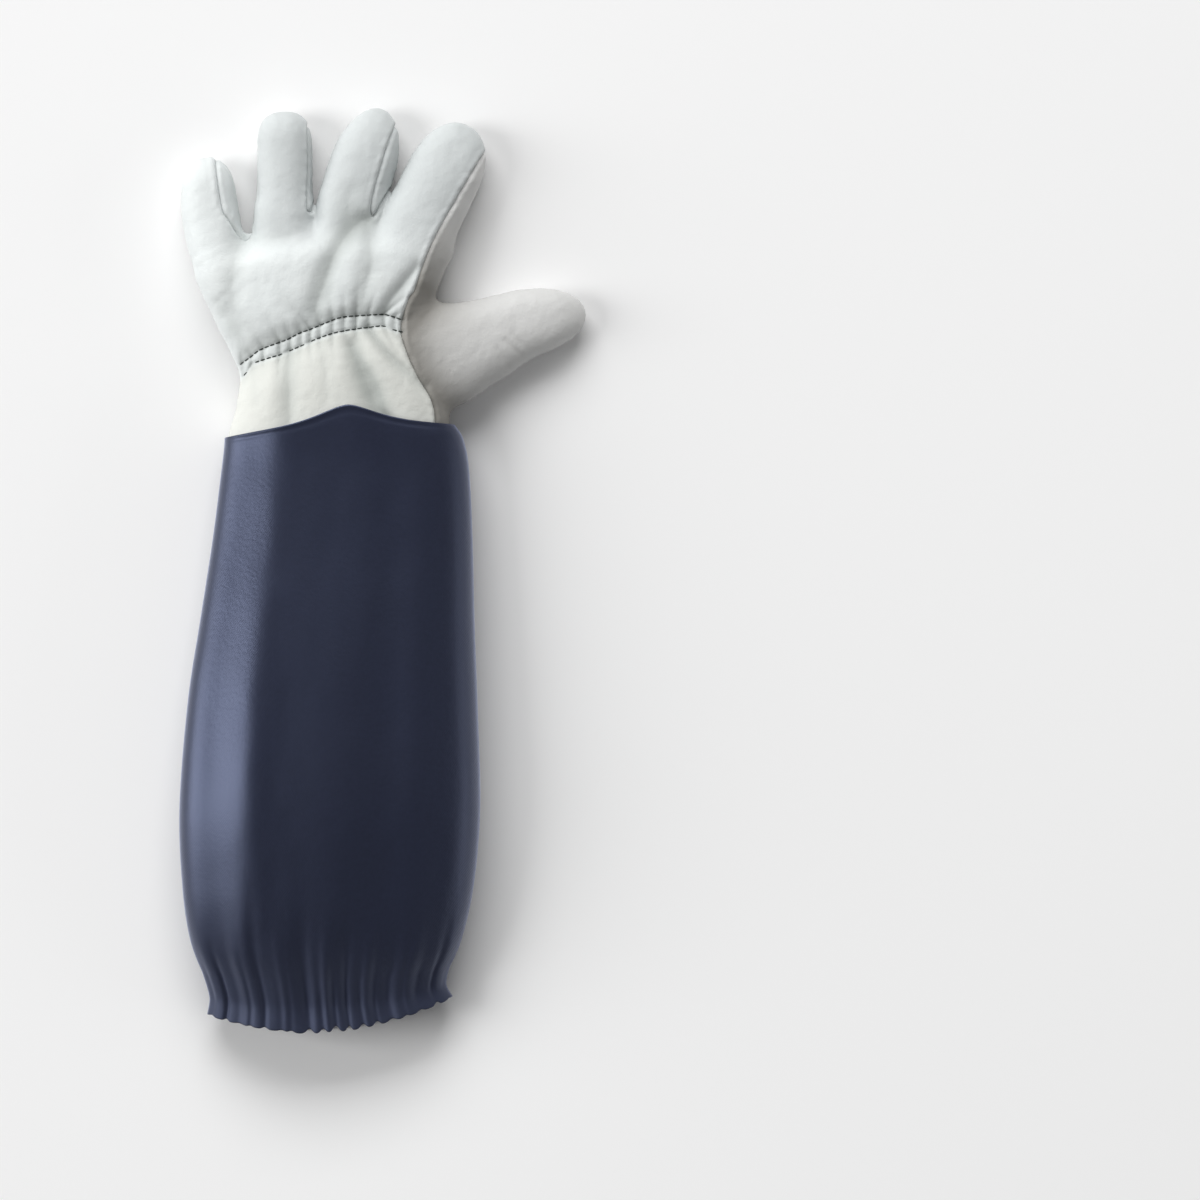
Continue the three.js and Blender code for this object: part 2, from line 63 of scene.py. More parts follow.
# Cross sections: the widest level as a share of the height, and the roundness of the two halves
WIDEST_LEVEL = 0.42
UPPER_ROUNDNESS = 2.4
LOWER_ROUNDNESS = 4
FLATTENING = 1.06

# Levels of the seams above the floor
PALM_SEAM_LEVEL = 5
THUMB_SEAM_LEVEL = 10

# Fingers and thumb. The columns of rows are x, y, half width and top, from the root to the tip.
# dome is the length of the rounded end; the seams are distances of the side seam from the middle line.
DIGITS = {
    "little": {
        "dome": 18, "roundness": 2.2, "seam_root": 12.5, "seam_tip": 5,
        "rows": [(-76, 138, 9, 27), (-85.2, 163.6, 14.4, 30), (-91.6, 189, 15.2, 27),
                 (-93.6, 219.5, 13.2, 24)],
    },
    "ring": {
        "dome": 17, "roundness": 2.5, "seam_root": 12.8, "seam_tip": 12.8,
        "rows": [(-52, 148, 13, 30), (-52, 184, 16.6, 31), (-51.9, 205, 14.6, 28),
                 (-51.9, 244, 14.3, 25)],
    },
    "middle": {
        "dome": 33, "roundness": 2, "seam_root": 11.3, "seam_tip": 10,
        "rows": [(-19.5, 148, 14, 31), (-17, 184, 18.6, 32), (-13.2, 206, 18, 29),
                 (-0.4, 245.5, 17.2, 26)],
    },
    "index": {
        "dome": 34, "roundness": 2.2, "seam_root": 9.4, "seam_tip": 15,
        "rows": [(8, 148, 14, 30), (16.2, 175.3, 20.6, 33), (27, 199, 20, 29),
                 (46, 236.6, 20.2, 25)],
    },
    "thumb": {
        "dome": 26, "roundness": 2.1, "seam_root": 20, "seam_tip": 10,
        "rows": [(12, 108, 22, 26), (31, 114, 28, 29), (53, 121.5, 23, 28), (76, 131, 18, 25),
                 (108, 137.5, 15, 21)],
    },
}
HALF_COLUMN = 2
TOP_COLUMN = 3
AXIS_STEPS = 48
LINE_EXTENSION = 40
SEAM_END = 1.1

# The hand from the end of the cuff to the finger roots. The columns are left x, left y, right x, right y,
# how far the row bows towards the fingers, top and bottom.
HAND_ROWS = [
    (-81.6, 56, 36.5, 60, 6, 38, 1.9),
    (-81.4, 71, 36.2, 77, 7, 38.5, 1.9),
    (-77.2, 88, 34.5, 98, 9, 37.5, 0),
    (-75.6, 104, 28.5, 122, 13, 32.5, 0),
    (-83, 120, 26.8, 138, 10, 36, 0),
    (-92, 140, 31, 154, 7, 37.5, 0),
    (-98, 157, 36.5, 168, 8, 36, 0),
    (-97, 167, 36, 180, 13, 24, 4),
]
LINE_COLUMNS = 5
LAST_ROW_LENGTH = 12
CUFF_ROW = 0
WRIST_ROW = 3

# How finely the hand's rows are searched, and how far outside the hand they still bow
PLACE_STEP = 0.05
HALVINGS = 24
BOW_REACH = 1.15

# Grid of the hand's surface, and how softly the parts on it blend and end
CELL = 0.9
GRID_LOW = (-113.0, 44.0, -2.7)
GRID_HIGH = (114.0, 252.0, 43.0)
CORNERS = list(itertools.product((0, 1), repeat=3))
FIELD_REACH = 15
LEAST_SLOPE = 1e-4
HAND_BLEND = 7
CROTCH_BLEND = 2.5
END_ROUNDING = 16

# Evening out the surface: rounds, and the share of the way to the neighbours' mean in each
EVENING_ROUNDS = 4
EVENING_SHARE = 0.6

# Seam lines seen from above
SIDE_SEAM = [(25, 173.7), (18.6, 158), (14.8, 143.4), (10.8, 130), (12, 120), (19, 103.5), (28.5, 84.9),
             (28.5, 50)]
SIDE_SEAM_STEPS = 60
INDEX_SEAM = [(36.5, 197.6), (56, 240)]
CROTCH_LINE = [(-160, 215), (-82.5, 188), (-73.3, 174.8), (-66, 182), (-40, 191), (-35.5, 189.2),
               (-31, 192), (-9, 196), (-4.3, 187), (2, 194), (60, 215)]
FINGER_PAST_SIDE = 1.5

# The side panel is right of this line, and from the turn on right of the index finger's middle line
SIDE_PANEL_LINE = [(8, 40), (8, 148)]
SIDE_PANEL_TURN = 150

# The thumb panel: its start as a share of the thumb, its reach past the thumb's sides, and its distance
# from the middle line of the index finger
THUMB_PANEL_START = 0.28
THUMB_PANEL_PAST_SIDE = 8
THUMB_PANEL_OFF_INDEX = 26

# The side strips between the fingers: where they start along a finger, and the fingers on their two sides
STRIP_START = 0.3
FOURCHETTES = {
    "fourchette_little_ring": ("little", "ring"),
    "fourchette_ring_middle": ("ring", "middle"),
    "fourchette_middle_index": ("middle", "index"),
}

# The panels in the order in which they are cut, and the one that is left over
CUT_PANELS = ["back_panel", *FOURCHETTES, "thumb_panel", "side_panel"]
PANELS = [*CUT_PANELS, "palm_panel"]
PALM_LEATHER_PANELS = ("palm_panel", "thumb_panel", "side_panel")

# Cutting: rounds of moving points onto a seam and of straightening it. Distances from it are measured to
# samples of each of its edges, within some rings of triangles.
SNAP_ROUNDS = 3
STRAIGHTENING_ROUNDS = 6
SEAM_SAMPLES = 4
SEAM_RINGS = 8

# The groove along a seam, and the low ridge on both sides of it
GROOVE_DEPTH = 0.95
GROOVE_WIDTH = 1.0
RIDGE_HEIGHT = 0.28
RIDGE_PLACE = 2.4
RIDGE_WIDTH = 1.3

# Valleys in the leather of the back: points x, y from one end to the other, width and depth
LEATHER_FOLDS = [
    ([(-6, 187), (-13, 183), (-24, 168), (-30, 152), (-35, 137)], 6.0, 3.5),
    ([(-17, 198), (-18, 184)], 8, 1.6),
    ([(-7, 184), (-5, 164), (-8, 149), (-11, 136)], 4.5, 1.8),
    ([(19.5, 161), (10, 149), (5, 142.5), (-0.5, 134.5)], 3.4, 2.4),
    ([(-75, 175), (-79, 149), (-76, 128)], 6, 1.5),
    ([(-86, 141), (-72, 116)], 4, 1.0),
    ([(-67, 175), (-49, 176)], 4, 1.2),
    ([(-15, 118), (-11, 108), (-5, 96), (1, 82)], 5.0, 4.2),
    ([(-7, 100), (-3, 82)], 9, 2.0),
    ([(-7, 128), (4, 114), (23, 97)], 3.2, 2.6),
    ([(-49, 113), (-48, 78)], 5.5, 2.6),
    ([(-68, 106), (-66, 88)], 4, 0.8),
    ([(-30, 118), (-28, 92)], 4, 0.9),
    ([(66, 122), (75, 113)], 1.6, 0.7),
    ([(70, 125), (78, 117)], 1.5, 0.5),
    ([(62, 118), (68, 108)], 1.8, 0.5),
]

# The two rows of wrist stitches
UPPER_STITCHES = [(-75.6, 109), (-69, 113.4), (-64.7, 116.7), (-54, 120.7), (-49.5, 122.3), (-43, 125.7),
                  (-37.6, 127.5), (-25.7, 132.4), (-20.2, 134), (-13.7, 134.6), (-6.7, 135.1),
                  (1.5, 135.5), (6.9, 134), (13, 132)]
LOWER_STITCHES = [(-76, 101), (-71.8, 104.6), (-69, 109.2), (-61, 112), (-54, 114), (-47.4, 116.7),
                  (-40.9, 119.4), (-33.8, 122.6), (-25.7, 125.4), (-18.1, 127), (-6.7, 128.6),
                  (1.5, 129.4), (5.8, 127.4), (12, 126)]
LOWER_GAPS = [(-71.8, -69.1), (-53.9, -51.7), (-40.9, -37.6), (-33.8, -32.2), (1.5, 5.0)]

# Sewing: length of a stitch, the gap after it, its thickness, and how many rings and sides it has
STITCH = 3.0
STITCH_GAP = 0.2
THREAD = 0.7
STITCH_RINGS = 7
STITCH_SIDES = 8

# Form of a stitch: thickness of its ends, rise of its middle and flatness as shares, and its ends' depth
STITCH_TAPER = 0.6
STITCH_RISE = 0.32
STITCH_FLATNESS = 0.8
STITCH_DIP = 0.35

# Gathers across the wrist band: x, depth, length up the hand and its lean, length down and its lean
PUCKERS = [
    (-73.5, 0.7, 8, -0.3, 5, 0.0),
    (-69.1, 0.9, 9, -0.4, 7, 0.1),
    (-62.6, 1.0, 12, -0.5, 5, 0.1),
    (-53.9, 1.2, 10, -0.4, 12, 0.0),
    (-48.2, 1.1, 8, -0.3, 7, 0.0),
    (-42.6, 1.1, 7, -0.3, 6, 0.0),
    (-37.6, 1.5, 14, -0.6, 8, 0.1),
    (-32.4, 1.0, 8, -0.2, 6, 0.1),
    (-25.8, 1.2, 10, -0.1, 10, 0.1),
    (-19.6, 1.0, 8, 0.0, 14, 0.5),
    (-13.5, 1.5, 14, 0.1, 6, 0.3),
    (-6.7, 1.1, 8, 0.3, 14, 0.7),
    (1.5, 1.2, 14, 0.9, 6, 0.6),
    (7.2, 0.7, 8, 0.8, 8, 0.5),
]
PUCKER_DEEPENING = 1.25
PUCKER_WIDTH = 1.25
PUCKER_WIDENING = 0.13

# Hollows of the two rows of stitches and of the tape: depth and width
STITCHED_HOLLOW = (0.75, 1.1)
TAPE_HOLLOW = (1.2, 5.5)

# The tape behind the wrist stitches, from end to end across the hand, and its depth under the leather
TAPE_START = -0.86
TAPE_END = 0.62
TAPE_WIDTH = 8
TAPE_DEPTH = 5.4
TAPE_COLUMNS = 90

# The sleeve from the hem casing up to its top edge, in the columns of the hand's rows
SLEEVE_ROWS = [
    (-95.3, -215.5, 36.3, -212, -6, 37.5, 0),
    (-102, -197, 42.6, -197, -5, 44, 0),
    (-106, -168, 49, -168, -3, 50, 0),
    (-107.4, -126, 52.5, -126, 0, 54, 0),
    (-103, -70, 51, -70, 0, 52, 0),
    (-96.5, -27, 49.4, -27, 0, 49, 0),
    (-90, 15.5, 48.4, 15.5, 0, 45, 0),
    (-85.4, 52, 46.6, 52, 2, 42, 0),
    (-84, 64, 43.6, 69, 4, 41.4, 0),
    (-83.6, 70, 38.8, 77, 4, 41.2, 0),
]

# The peak in the middle of the sleeve's top edge: height, place and width across, and reach down the sleeve
EDGE_PEAK = 9.5
EDGE_PEAK_PLACE = 0.08
EDGE_PEAK_WIDTH = 0.34
EDGE_PEAK_REACH = 8

# The sewn rim of the top edge and the dent below it: height and width; depth, place and width
EDGE_RIM = (0.25, 0.9)
EDGE_DENT = (0.22, 2.4, 0.8)

# Lengthwise folds of the sleeve: place across, width, and depth at the top, in the middle and at the hem
SLEEVE_MIDDLE = 0.4
SLEEVE_FOLDS = [
    (-0.8, 0.15, 1.2, 3.2, 2.6),
    (-0.53, 0.13, -0.6, -1.6, -1.0),
    (0.4, 0.2, 1.2, 2.4, 2.4),
    (0.74, 0.13, 0.2, 1.2, 1.2),
]

# The hem casing from its open edge up to the sleeve
HEM_ROWS = [
    (-93.2, -236.5, 38, -227, -12.5, 32.5, 0),
    (-92, -227.5, 34.6, -220.5, -8, 33.2, 0),
    (-95.3, -215.5, 36.3, -212, -6, 37.5, 0),
]

# Gathers of the hem: how many cross the top, and the least and most of their depth, width and length
GATHERS = 17
GATHER_ENDS = 0.97
GATHER_SHIFT = 0.02
GATHER_DEPTH = (0.6, 1.7)
GATHER_WIDTH = (1.3, 2.4)
GATHER_LENGTH = (7, 34)
GATHER_WIDENING = 0.06

# Swells of the canvas by the gathers: waves in half the width, height, and length up the sleeve
SWELL_WAVES = 3
SWELL_HEIGHT = 1.4
SWELL_LENGTH = 26

# Size of the frill's lobes: place across the hem and how far a lobe stands out. Gathers deeper than the
# notch depth push it out.
LOBES = [(-1, 0.6), (-0.5, 0.9), (-0.15, 2.3), (0.3, 2.0), (1, 1.0)]
NOTCH_DEPTH = 0.8
FRILL_LENGTH = 16

# Ripples under the hem: the depth of gather that lies flat, and their length
RIPPLE_LEVEL = 1.6
RIPPLE_LENGTH = 12

# The canvas is crumpled, so less smooth, below the second of these levels
GATHERED = (-226, -196)

# Rings of the canvas: steps up the sleeve and where each step size ends, points round each ring, and
# how evenly they are spaced
SLEEVE_STEPS = [(1.1, 32), (2.6, 95), (5.5, 290), (0.8, 400)]
HEM_STEPS = [(0.8, 100)]
COLUMNS = 420
EVEN_SHARE = 0.65
ROW_STEPS = 60

# Where the painted shade on the palm leather of the web between thumb and index finger is darkest
WEB = (30, 138)

# Colours of the leather: two mottled tones, a second colour (the cuff's tone on the back, painted shade on
# the palm), painted shade on the fingers and painted shade in the creases
LEATHER_COLOURS = {
    "back_leather": {
        "first": (0.81, 0.84, 0.83), "mottled": (0.77, 0.81, 0.81), "cuff_tone_and_palm_shade": (0.70, 0.71, 0.67),
        "painted_finger_shade": (0.60, 0.63, 0.63), "painted_crease_shade": (0.40, 0.43, 0.41),
    },
    "palm_leather": {
        "first": (0.67, 0.67, 0.66), "mottled": (0.63, 0.63, 0.62), "cuff_tone_and_palm_shade": (0.27, 0.26, 0.24),
        "painted_finger_shade": (0.60, 0.60, 0.59), "painted_crease_shade": (0.36, 0.36, 0.34),
    },
}
NAVY = (0.0015, 0.002, 0.007)
NAVY_PATCHES = (0.003, 0.004, 0.014)
# Painted highlight: the lighter navy of the raised slubs
NAVY_SLUB_HIGHLIGHT = (0.012, 0.015, 0.036)
CANVAS_SHINE = (0.58, 0.67, 1.0)
CANVAS_BLOOM = (0.62, 0.7, 1.0)
TWILL_ANGLE = 38
DARK_THREAD = (0.045, 0.055, 0.05)
ELASTIC_TAPE = (0.5, 0.5, 0.47)

# Places of the two colours and of the result in Blender's Mix node
MIX_COLOURS = (6, 7)
MIX_RESULT = 2

# Floor in metres: half its size and its gap under the glove, and its grey
FLOOR_REACH = 4.0
FLOOR_GAP = 0.0003
FLOOR_GREY = 0.96

# Lights in metres: name, place, width, height and power. They all point at one place.
LIGHTS = [
    ("left_softbox", (-7.7, 0.2, 4.1), 3.6, 7.2, 510),
    ("far_softbox", (-0.8, 6.2, 4.6), 7.0, 4.0, 500),
    ("right_softbox", (7.5, -1.0, 2.2), 5.0, 2.0, 60),
]
LIGHT_AIM = (0.05, 0, 0.02)
WORLD_LIGHT = 0.19

# Camera: the photo's width in pixels and its millimetres in a pixel, the middle of the picture and the
# level at which that scale holds, and the lens
PHOTO_PIXELS = 1200
PHOTO_SCALE = 0.532
VIEW_CENTRE = (116.2, -16.2)
VIEW_LEVEL = 20
LENS = 250
SENSOR = 36
VIEW_END = 20


# Tables and lines

def between(rows, place):
    """Rows of a table on a smooth curve through them, at places counted in rows."""
    rows = np.asarray(rows, float)
    last = len(rows) - 1
    place = np.clip(place, 0, last)
    start = np.minimum(place.astype(int), last - 1)
    t = (place - start)[..., None]
    before, here, there, after = (rows[np.clip(start + i, 0, last)] for i in (-1, 0, 1, 2))
    return 0.5 * (
        2 * here
        + (there - before) * t
        + (2 * before - 5 * here + 4 * there - after) * t**2
        + (3 * here - before - 3 * there + after) * t**3
    )


def smooth_line(line, count):
    """Points on a smooth curve through the points of a line."""
    return between(line, np.linspace(0, len(line) - 1, count))


def fade(distance, width):
    """1 at distance 0, falling to nothing past the width."""
    return np.exp(-((distance / width) ** 2))


def crown(across, roundness):
    """Height of a rounded section: 1 in its middle and 0 where across is -1 or 1."""
    return np.maximum(0, 1 - np.abs(across) ** roundness) ** (1 / roundness)


def ease(value, low, high):
    """0 below low, 1 above high and smooth between them."""
    share = np.clip((value - low) / (high - low), 0, 1)
    return share**2 * (3 - 2 * share)


def beside(line, x, y):
    """How far along a line each point lies, how far to its right, and its distance from the line."""
    nearest = np.full(np.shape(x), np.inf)
    along = np.zeros_like(nearest)
    right = np.zeros_like(nearest)
    passed = 0.0
    for (ax, ay), (bx, by) in zip(line[:-1], line[1:]):
        run_x, run_y = bx - ax, by - ay
        length = math.hypot(run_x, run_y)
        share = np.clip(((x - ax) * run_x + (y - ay) * run_y) / length**2, 0, 1)
        off_x, off_y = x - ax - share * run_x, y - ay - share * run_y
        distance = np.hypot(off_x, off_y)
        closer = distance < nearest
        nearest = np.where(closer, distance, nearest)
        along = np.where(closer, passed + share * length, along)
        right = np.where(closer, np.sign(off_x * run_y - off_y * run_x) * distance, right)
        passed += length
    return along, right, nearest


def line_height(line, x):
    """The y of a line at each x."""
    xs, ys = zip(*line)
    return np.interp(x, xs, ys)


def on_row(row, across):
    """The x and y at places across a row of the hand or of the canvas."""
    left_x, left_y, right_x, right_y, bow = np.moveaxis(np.asarray(row, float), -1, 0)[:LINE_COLUMNS]
    x = (left_x + right_x) / 2 + (right_x - left_x) / 2 * across
    y = left_y + (right_y - left_y) * (across + 1) / 2 + bow * (1 - across**2)
    return x, y


def row_levels(row):
    """The top, the bottom and the widest level of a row of the hand or of the canvas."""
    _, _, _, _, _, top, bottom = np.moveaxis(np.asarray(row, float), -1, 0)
    bottom = np.maximum(0, bottom)
    return top, bottom, bottom + (top - bottom) * WIDEST_LEVEL


class Axis:
    """The middle line of a digit, run on straight past both of its ends."""

    def __init__(self, digit):
        self.digit = digit
        self.places = np.linspace(0, len(digit["rows"]) - 1, AXIS_STEPS + 1)
        points = between(digit["rows"], self.places)[:, :2]
        self.steps = np.concatenate([[0], np.cumsum(np.hypot(*np.diff(points, axis=0).T))])
        self.length = self.steps[-1]
        first = (points[0] - points[1]) / np.hypot(*(points[0] - points[1]))
        last = (points[-1] - points[-2]) / np.hypot(*(points[-1] - points[-2]))
        self.line = [points[0] + first * LINE_EXTENSION, *points, points[-1] + last * LINE_EXTENSION]

    def beside(self, x, y):
        """How far along the digit each point lies, and how far to its right."""
        along, right, _ = beside(self.line, x, y)
        return along - LINE_EXTENSION, right

    def row(self, along):
        return between(self.digit["rows"], np.interp(along, self.steps, self.places))

    def seam(self, along):
        """How far right of the middle line the seam of the digit's back runs."""
        share = np.clip(along / self.length, 0, SEAM_END)
        return self.digit["seam_root"] + (self.digit["seam_tip"] - self.digit["seam_root"]) * share


AXES = {name: Axis(digit) for name, digit in DIGITS.items()}


# Noise

def noise(x, y, size, seed):
    """Smooth random heights from -1 to 1 over a plane, with bumps of about the given size."""
    x, y = np.asarray(x) / size, np.asarray(y) / size
    cell_x, cell_y = np.floor(x), np.floor(y)
    step_x, step_y = ease(x - cell_x, 0, 1), ease(y - cell_y, 0, 1)

    def value(i, j):
        mixed = np.sin((cell_x + i) * 127.1 + (cell_y + j) * 311.7 + seed * 74.7) * 43758.5453
        return 2 * (mixed - np.floor(mixed)) - 1

    low = value(0, 0) * (1 - step_x) + value(1, 0) * step_x
    high = value(0, 1) * (1 - step_x) + value(1, 1) * step_x
    return low * (1 - step_y) + high * step_y


# The hand as a distance field

def as_distance(field):
    """A field that is zero on the surface, scaled so that it gives distances near it."""
    slope = np.sqrt(sum(part**2 for part in np.gradient(field, CELL)))
    return np.clip(field / np.maximum(slope, LEAST_SLOPE), -FIELD_REACH, FIELD_REACH)


def blend(a, b, width):
    """The smaller of two distances, rounded where they meet."""
    share = np.maximum(width - np.abs(a - b), 0) / width
    return np.minimum(a, b) - share**2 * width / 4


def shortened(distance, past_end):
    """A distance field that ends where past_end is 0, with a rounded edge there."""
    return -blend(-distance, -past_end[..., None], END_ROUNDING)


def section_field(across, z, top, bottom, widest):
    """1 on the outline of a cross section, less inside it and more outside."""
    wide = np.abs(across)[..., None]
    top, bottom, widest = (level[..., None] for level in (top, bottom, widest))
    above = np.abs(z - widest) / (top - widest)
    below = np.abs(z - widest) / ((widest - bottom) * FLATTENING)
    upper = (wide**UPPER_ROUNDNESS + above**UPPER_ROUNDNESS) ** (1 / UPPER_ROUNDNESS)
    lower = (wide**LOWER_ROUNDNESS + below**LOWER_ROUNDNESS) ** (1 / LOWER_ROUNDNESS)
    return np.where(z > widest, upper, lower)


def digit_distance(axis, x, y, z):
    """Distances from the outside of a finger or the thumb."""
    along, right = axis.beside(x, y)
    row = axis.row(along)
    half, top = row[..., HALF_COLUMN], row[..., TOP_COLUMN]
    section = section_field(right / half, z, top, 0 * top, top * WIDEST_LEVEL)
    dome, roundness = axis.digit["dome"], axis.digit["roundness"]
    beyond = np.maximum(0, (along - (axis.length - dome)) / dome)[..., None]
    field = (section**roundness + beyond**roundness) ** (1 / roundness) - 1
    return shortened(as_distance(field), -along)


def hand_place(x, y):
    """Where each point of the plane lies in the hand's rows: the row place, and across from -1 to 1."""
    table = np.asarray(HAND_ROWS, float)[:, :LINE_COLUMNS]
    last = len(table) - 1
    places = np.arange(-1, last + 1.5, PLACE_STEP)
    before, past = np.minimum(0, places)[:, None], np.maximum(0, places - last)[:, None]
    rows = between(table, places) + before * (table[1] - table[0]) + past * (table[-1] - table[-2])

    def row_at(place):
        row = np.stack([np.interp(place, places, column) for column in rows.T], -1)
        left, right = row[..., 0], row[..., 2]
        return row, (2 * x - left - right) / (right - left)

    low, high = np.full(x.shape, places[0]), np.full(x.shape, places[-1])
    for _ in range(HALVINGS):
        place = (low + high) / 2
        row, across = row_at(place)
        _, level = on_row(row, np.clip(across, -BOW_REACH, BOW_REACH))
        short = level < y
        low, high = np.where(short, place, low), np.where(short, high, place)
    return place, row_at(place)[1]


def hand_distance(x, y, z):
    """Distances from the outside of the hand and the cuff."""
    place, across = hand_place(x, y)
    distance = as_distance(section_field(across, z, *row_levels(between(HAND_ROWS, place))) - 1)
    return shortened(distance, (place - (len(HAND_ROWS) - 1)) * LAST_ROW_LENGTH)


def glove_field():
    """Distances from the leather's outside on the grid."""
    xs, ys, z = (np.arange(low, high, CELL) for low, high in zip(GRID_LOW, GRID_HIGH))
    x, y = np.meshgrid(xs, ys, indexing="ij")
    digits = np.inf
    for axis in AXES.values():
        digits = blend(digits, digit_distance(axis, x, y, z), CROTCH_BLEND)
    return np.maximum(blend(hand_distance(x, y, z), digits, HAND_BLEND), -z)


# Surface of a distance field

def surface_of(field):
    """Points and four-sided faces on a field's zero level, in grid cells."""
    shape = np.array(field.shape)
    inside = field < 0
    count = np.zeros(shape - 1, int)
    for corner in CORNERS:
        count += inside[tuple(slice(i, n - 1 + i) for i, n in zip(corner, shape))]
    cells = np.argwhere((count > 0) & (count < len(CORNERS)))
    number = np.full(shape - 1, -1)
    number[tuple(cells.T)] = np.arange(len(cells))
    total, hits = np.zeros((len(cells), 3)), np.zeros(len(cells))
    for a in CORNERS:
        for axis in range(3):
            if a[axis]:
                continue
            b = tuple(1 if i == axis else a[i] for i in range(3))
            from_value = field[tuple((cells + a).T)]
            to_value = field[tuple((cells + b).T)]
            crossed = (from_value < 0) != (to_value < 0)
            share = from_value[crossed] / (from_value[crossed] - to_value[crossed])
            point = cells[crossed] + np.array(a, float)
            point[:, axis] += share
            total[crossed] += point
            hits[crossed] += 1
    faces = []
    for axis in range(3):
        others = [i for i in range(3) if i != axis]
        ends = np.argwhere(inside != np.roll(inside, -1, axis))
        ends = ends[(ends[:, axis] < shape[axis] - 1)]
        for other in others:
            ends = ends[(ends[:, other] > 0) & (ends[:, other] < shape[other] - 1)]
        ring = []
        for back in ((0, 0), (1, 0), (1, 1), (0, 1)):
            cell = ends.copy()
            cell[:, others] -= back
            ring.append(number[tuple(cell.T)])
        ring = np.stack(ring, 1)
        outward = inside[tuple(ends.T)] != (axis == 1)
        ring[~outward] = ring[~outward][:, ::-1]
        faces.append(ring)
    return total / hits[:, None], np.concatenate(faces)


def sample(values, points):
    """Values of a grid at points given in grid cells."""
    points = np.clip(points, 0, np.array(values.shape) - 1.001)
    base = points.astype(int)
    share = points - base
    result = 0
    for corner in CORNERS:
        weight = np.where(corner, share, 1 - share).prod(1)
        result = result + weight * values[tuple((base + corner).T)]
    return result


def sides_of(faces):
    """Every side of every face, as pairs of point numbers with the lower one first."""
    corners = faces.shape[1]
    sides = np.concatenate([faces[:, [i, (i + 1) % corners]] for i in range(corners)])
    return np.sort(sides, 1)


def edges_of(faces):
    """Every edge of the faces once."""
    return np.unique(sides_of(faces), axis=0)


def averaged(values, edges):
    """The mean of each point's neighbours."""
    total = np.zeros_like(values)
    ends = np.concatenate([edges, edges[:, ::-1]])
    for i in range(values.shape[1]):
        total[:, i] = np.bincount(ends[:, 0], values[ends[:, 1], i], len(values))
    return total / np.maximum(np.bincount(ends[:, 0], minlength=len(values)), 1)[:, None]


def even_surface(field):
    """Points spread evenly on the field's surface, their outward directions, and faces."""
    points, faces = surface_of(field)
    edges = edges_of(faces)
    slopes = np.gradient(field)

    def slope_at(points):
        return np.stack([sample(slope, points) for slope in slopes], 1)

    for _ in range(EVENING_ROUNDS):
        points += EVENING_SHARE * (averaged(points, edges) - points)
        for _ in range(2):
            outward = slope_at(points)
            steep = np.maximum(np.sum(outward**2, 1), 1e-6)
            points -= np.clip(sample(field, points) / steep, -1, 1)[:, None] * outward
    outward = slope_at(points)
    outward /= np.linalg.norm(outward, axis=1)[:, None]
    return points * CELL + np.array(GRID_LOW), outward, faces


# Seams

def finger_back(axis, x, y):
    """Below 0 on the part of a finger that belongs to the back panel."""
    along, right = axis.beside(x, y)
    half = axis.row(along)[..., HALF_COLUMN]
    return np.maximum.reduce([right - axis.seam(along), -right - half - FINGER_PAST_SIDE, -along])


def back_region(x, y):
    """Below 0 on the back of the hand and of the four fingers."""
    seam_line = smooth_line(SIDE_SEAM, SIDE_SEAM_STEPS)[::-1]
    _, right_of_seam, _ = beside([*seam_line, *INDEX_SEAM], x, y)
    region = np.maximum(right_of_seam, y - line_height(CROTCH_LINE, x))
    for name in ("little", "ring", "middle", "index"):
        region = np.minimum(region, finger_back(AXES[name], x, y))
    return region


def strip_region(left, right, x, y):
    """Below 0 between the middle lines of two fingers."""
    along, beside_left = AXES[left].beside(x, y)
    _, beside_right = AXES[right].beside(x, y)
    return np.maximum.reduce([-beside_left, beside_right, STRIP_START * AXES[left].length - along])


def thumb_region(x, y):
    """Below 0 on the thumb past its root."""
    along, right = AXES["thumb"].beside(x, y)
    half = AXES["thumb"].row(along)[..., HALF_COLUMN]
    _, beside_index = AXES["index"].beside(x, y)
    start = THUMB_PANEL_START * AXES["thumb"].length
    past_side = np.abs(right) - half - THUMB_PANEL_PAST_SIDE
    return np.maximum.reduce([start - along, past_side, THUMB_PANEL_OFF_INDEX - beside_index])


def side_region(x, y):
    """Below 0 on the thumb's side of the hand and of the index finger."""
    _, right_of_index = AXES["index"].beside(x, y)
    _, right_of_line, _ = beside(SIDE_PANEL_LINE, x, y)
    return -np.where(y > SIDE_PANEL_TURN, right_of_index, right_of_line)


def panel_region(name, x, y, z):
    """Below 0 on a panel that is cut. Only the thumb panel lies below its seam's level."""
    if name == "thumb_panel":
        return np.maximum(z - THUMB_SEAM_LEVEL, thumb_region(x, y))
    if name == "back_panel":
        region = back_region(x, y)
    elif name == "side_panel":
        region = side_region(x, y)
    else:
        region = strip_region(*FOURCHETTES[name], x, y)
    return np.maximum(PALM_SEAM_LEVEL - z, region)


def snap_to(values, points, edges, locked):
    """Moves points along the surface so that no edge crosses the line where values is 0."""
    values = values.copy()
    start, end = edges.T
    crossed = (values[start] * values[end] < 0) & (~locked[start] | ~locked[end])
    start, end = start[crossed], end[crossed]
    share = values[start] / (values[start] - values[end])
    target = points[start] + share[:, None] * (points[end] - points[start])
    moves_start = ((share < 0.5) & ~locked[start]) | locked[end]
    mover = np.where(moves_start, start, end)
    distance = np.where(moves_start, share, 1 - share)
    order = np.argsort(-distance)
    moved = points.copy()
    moved[mover[order]] = target[order]
    values[mover] = 0
    return moved, values


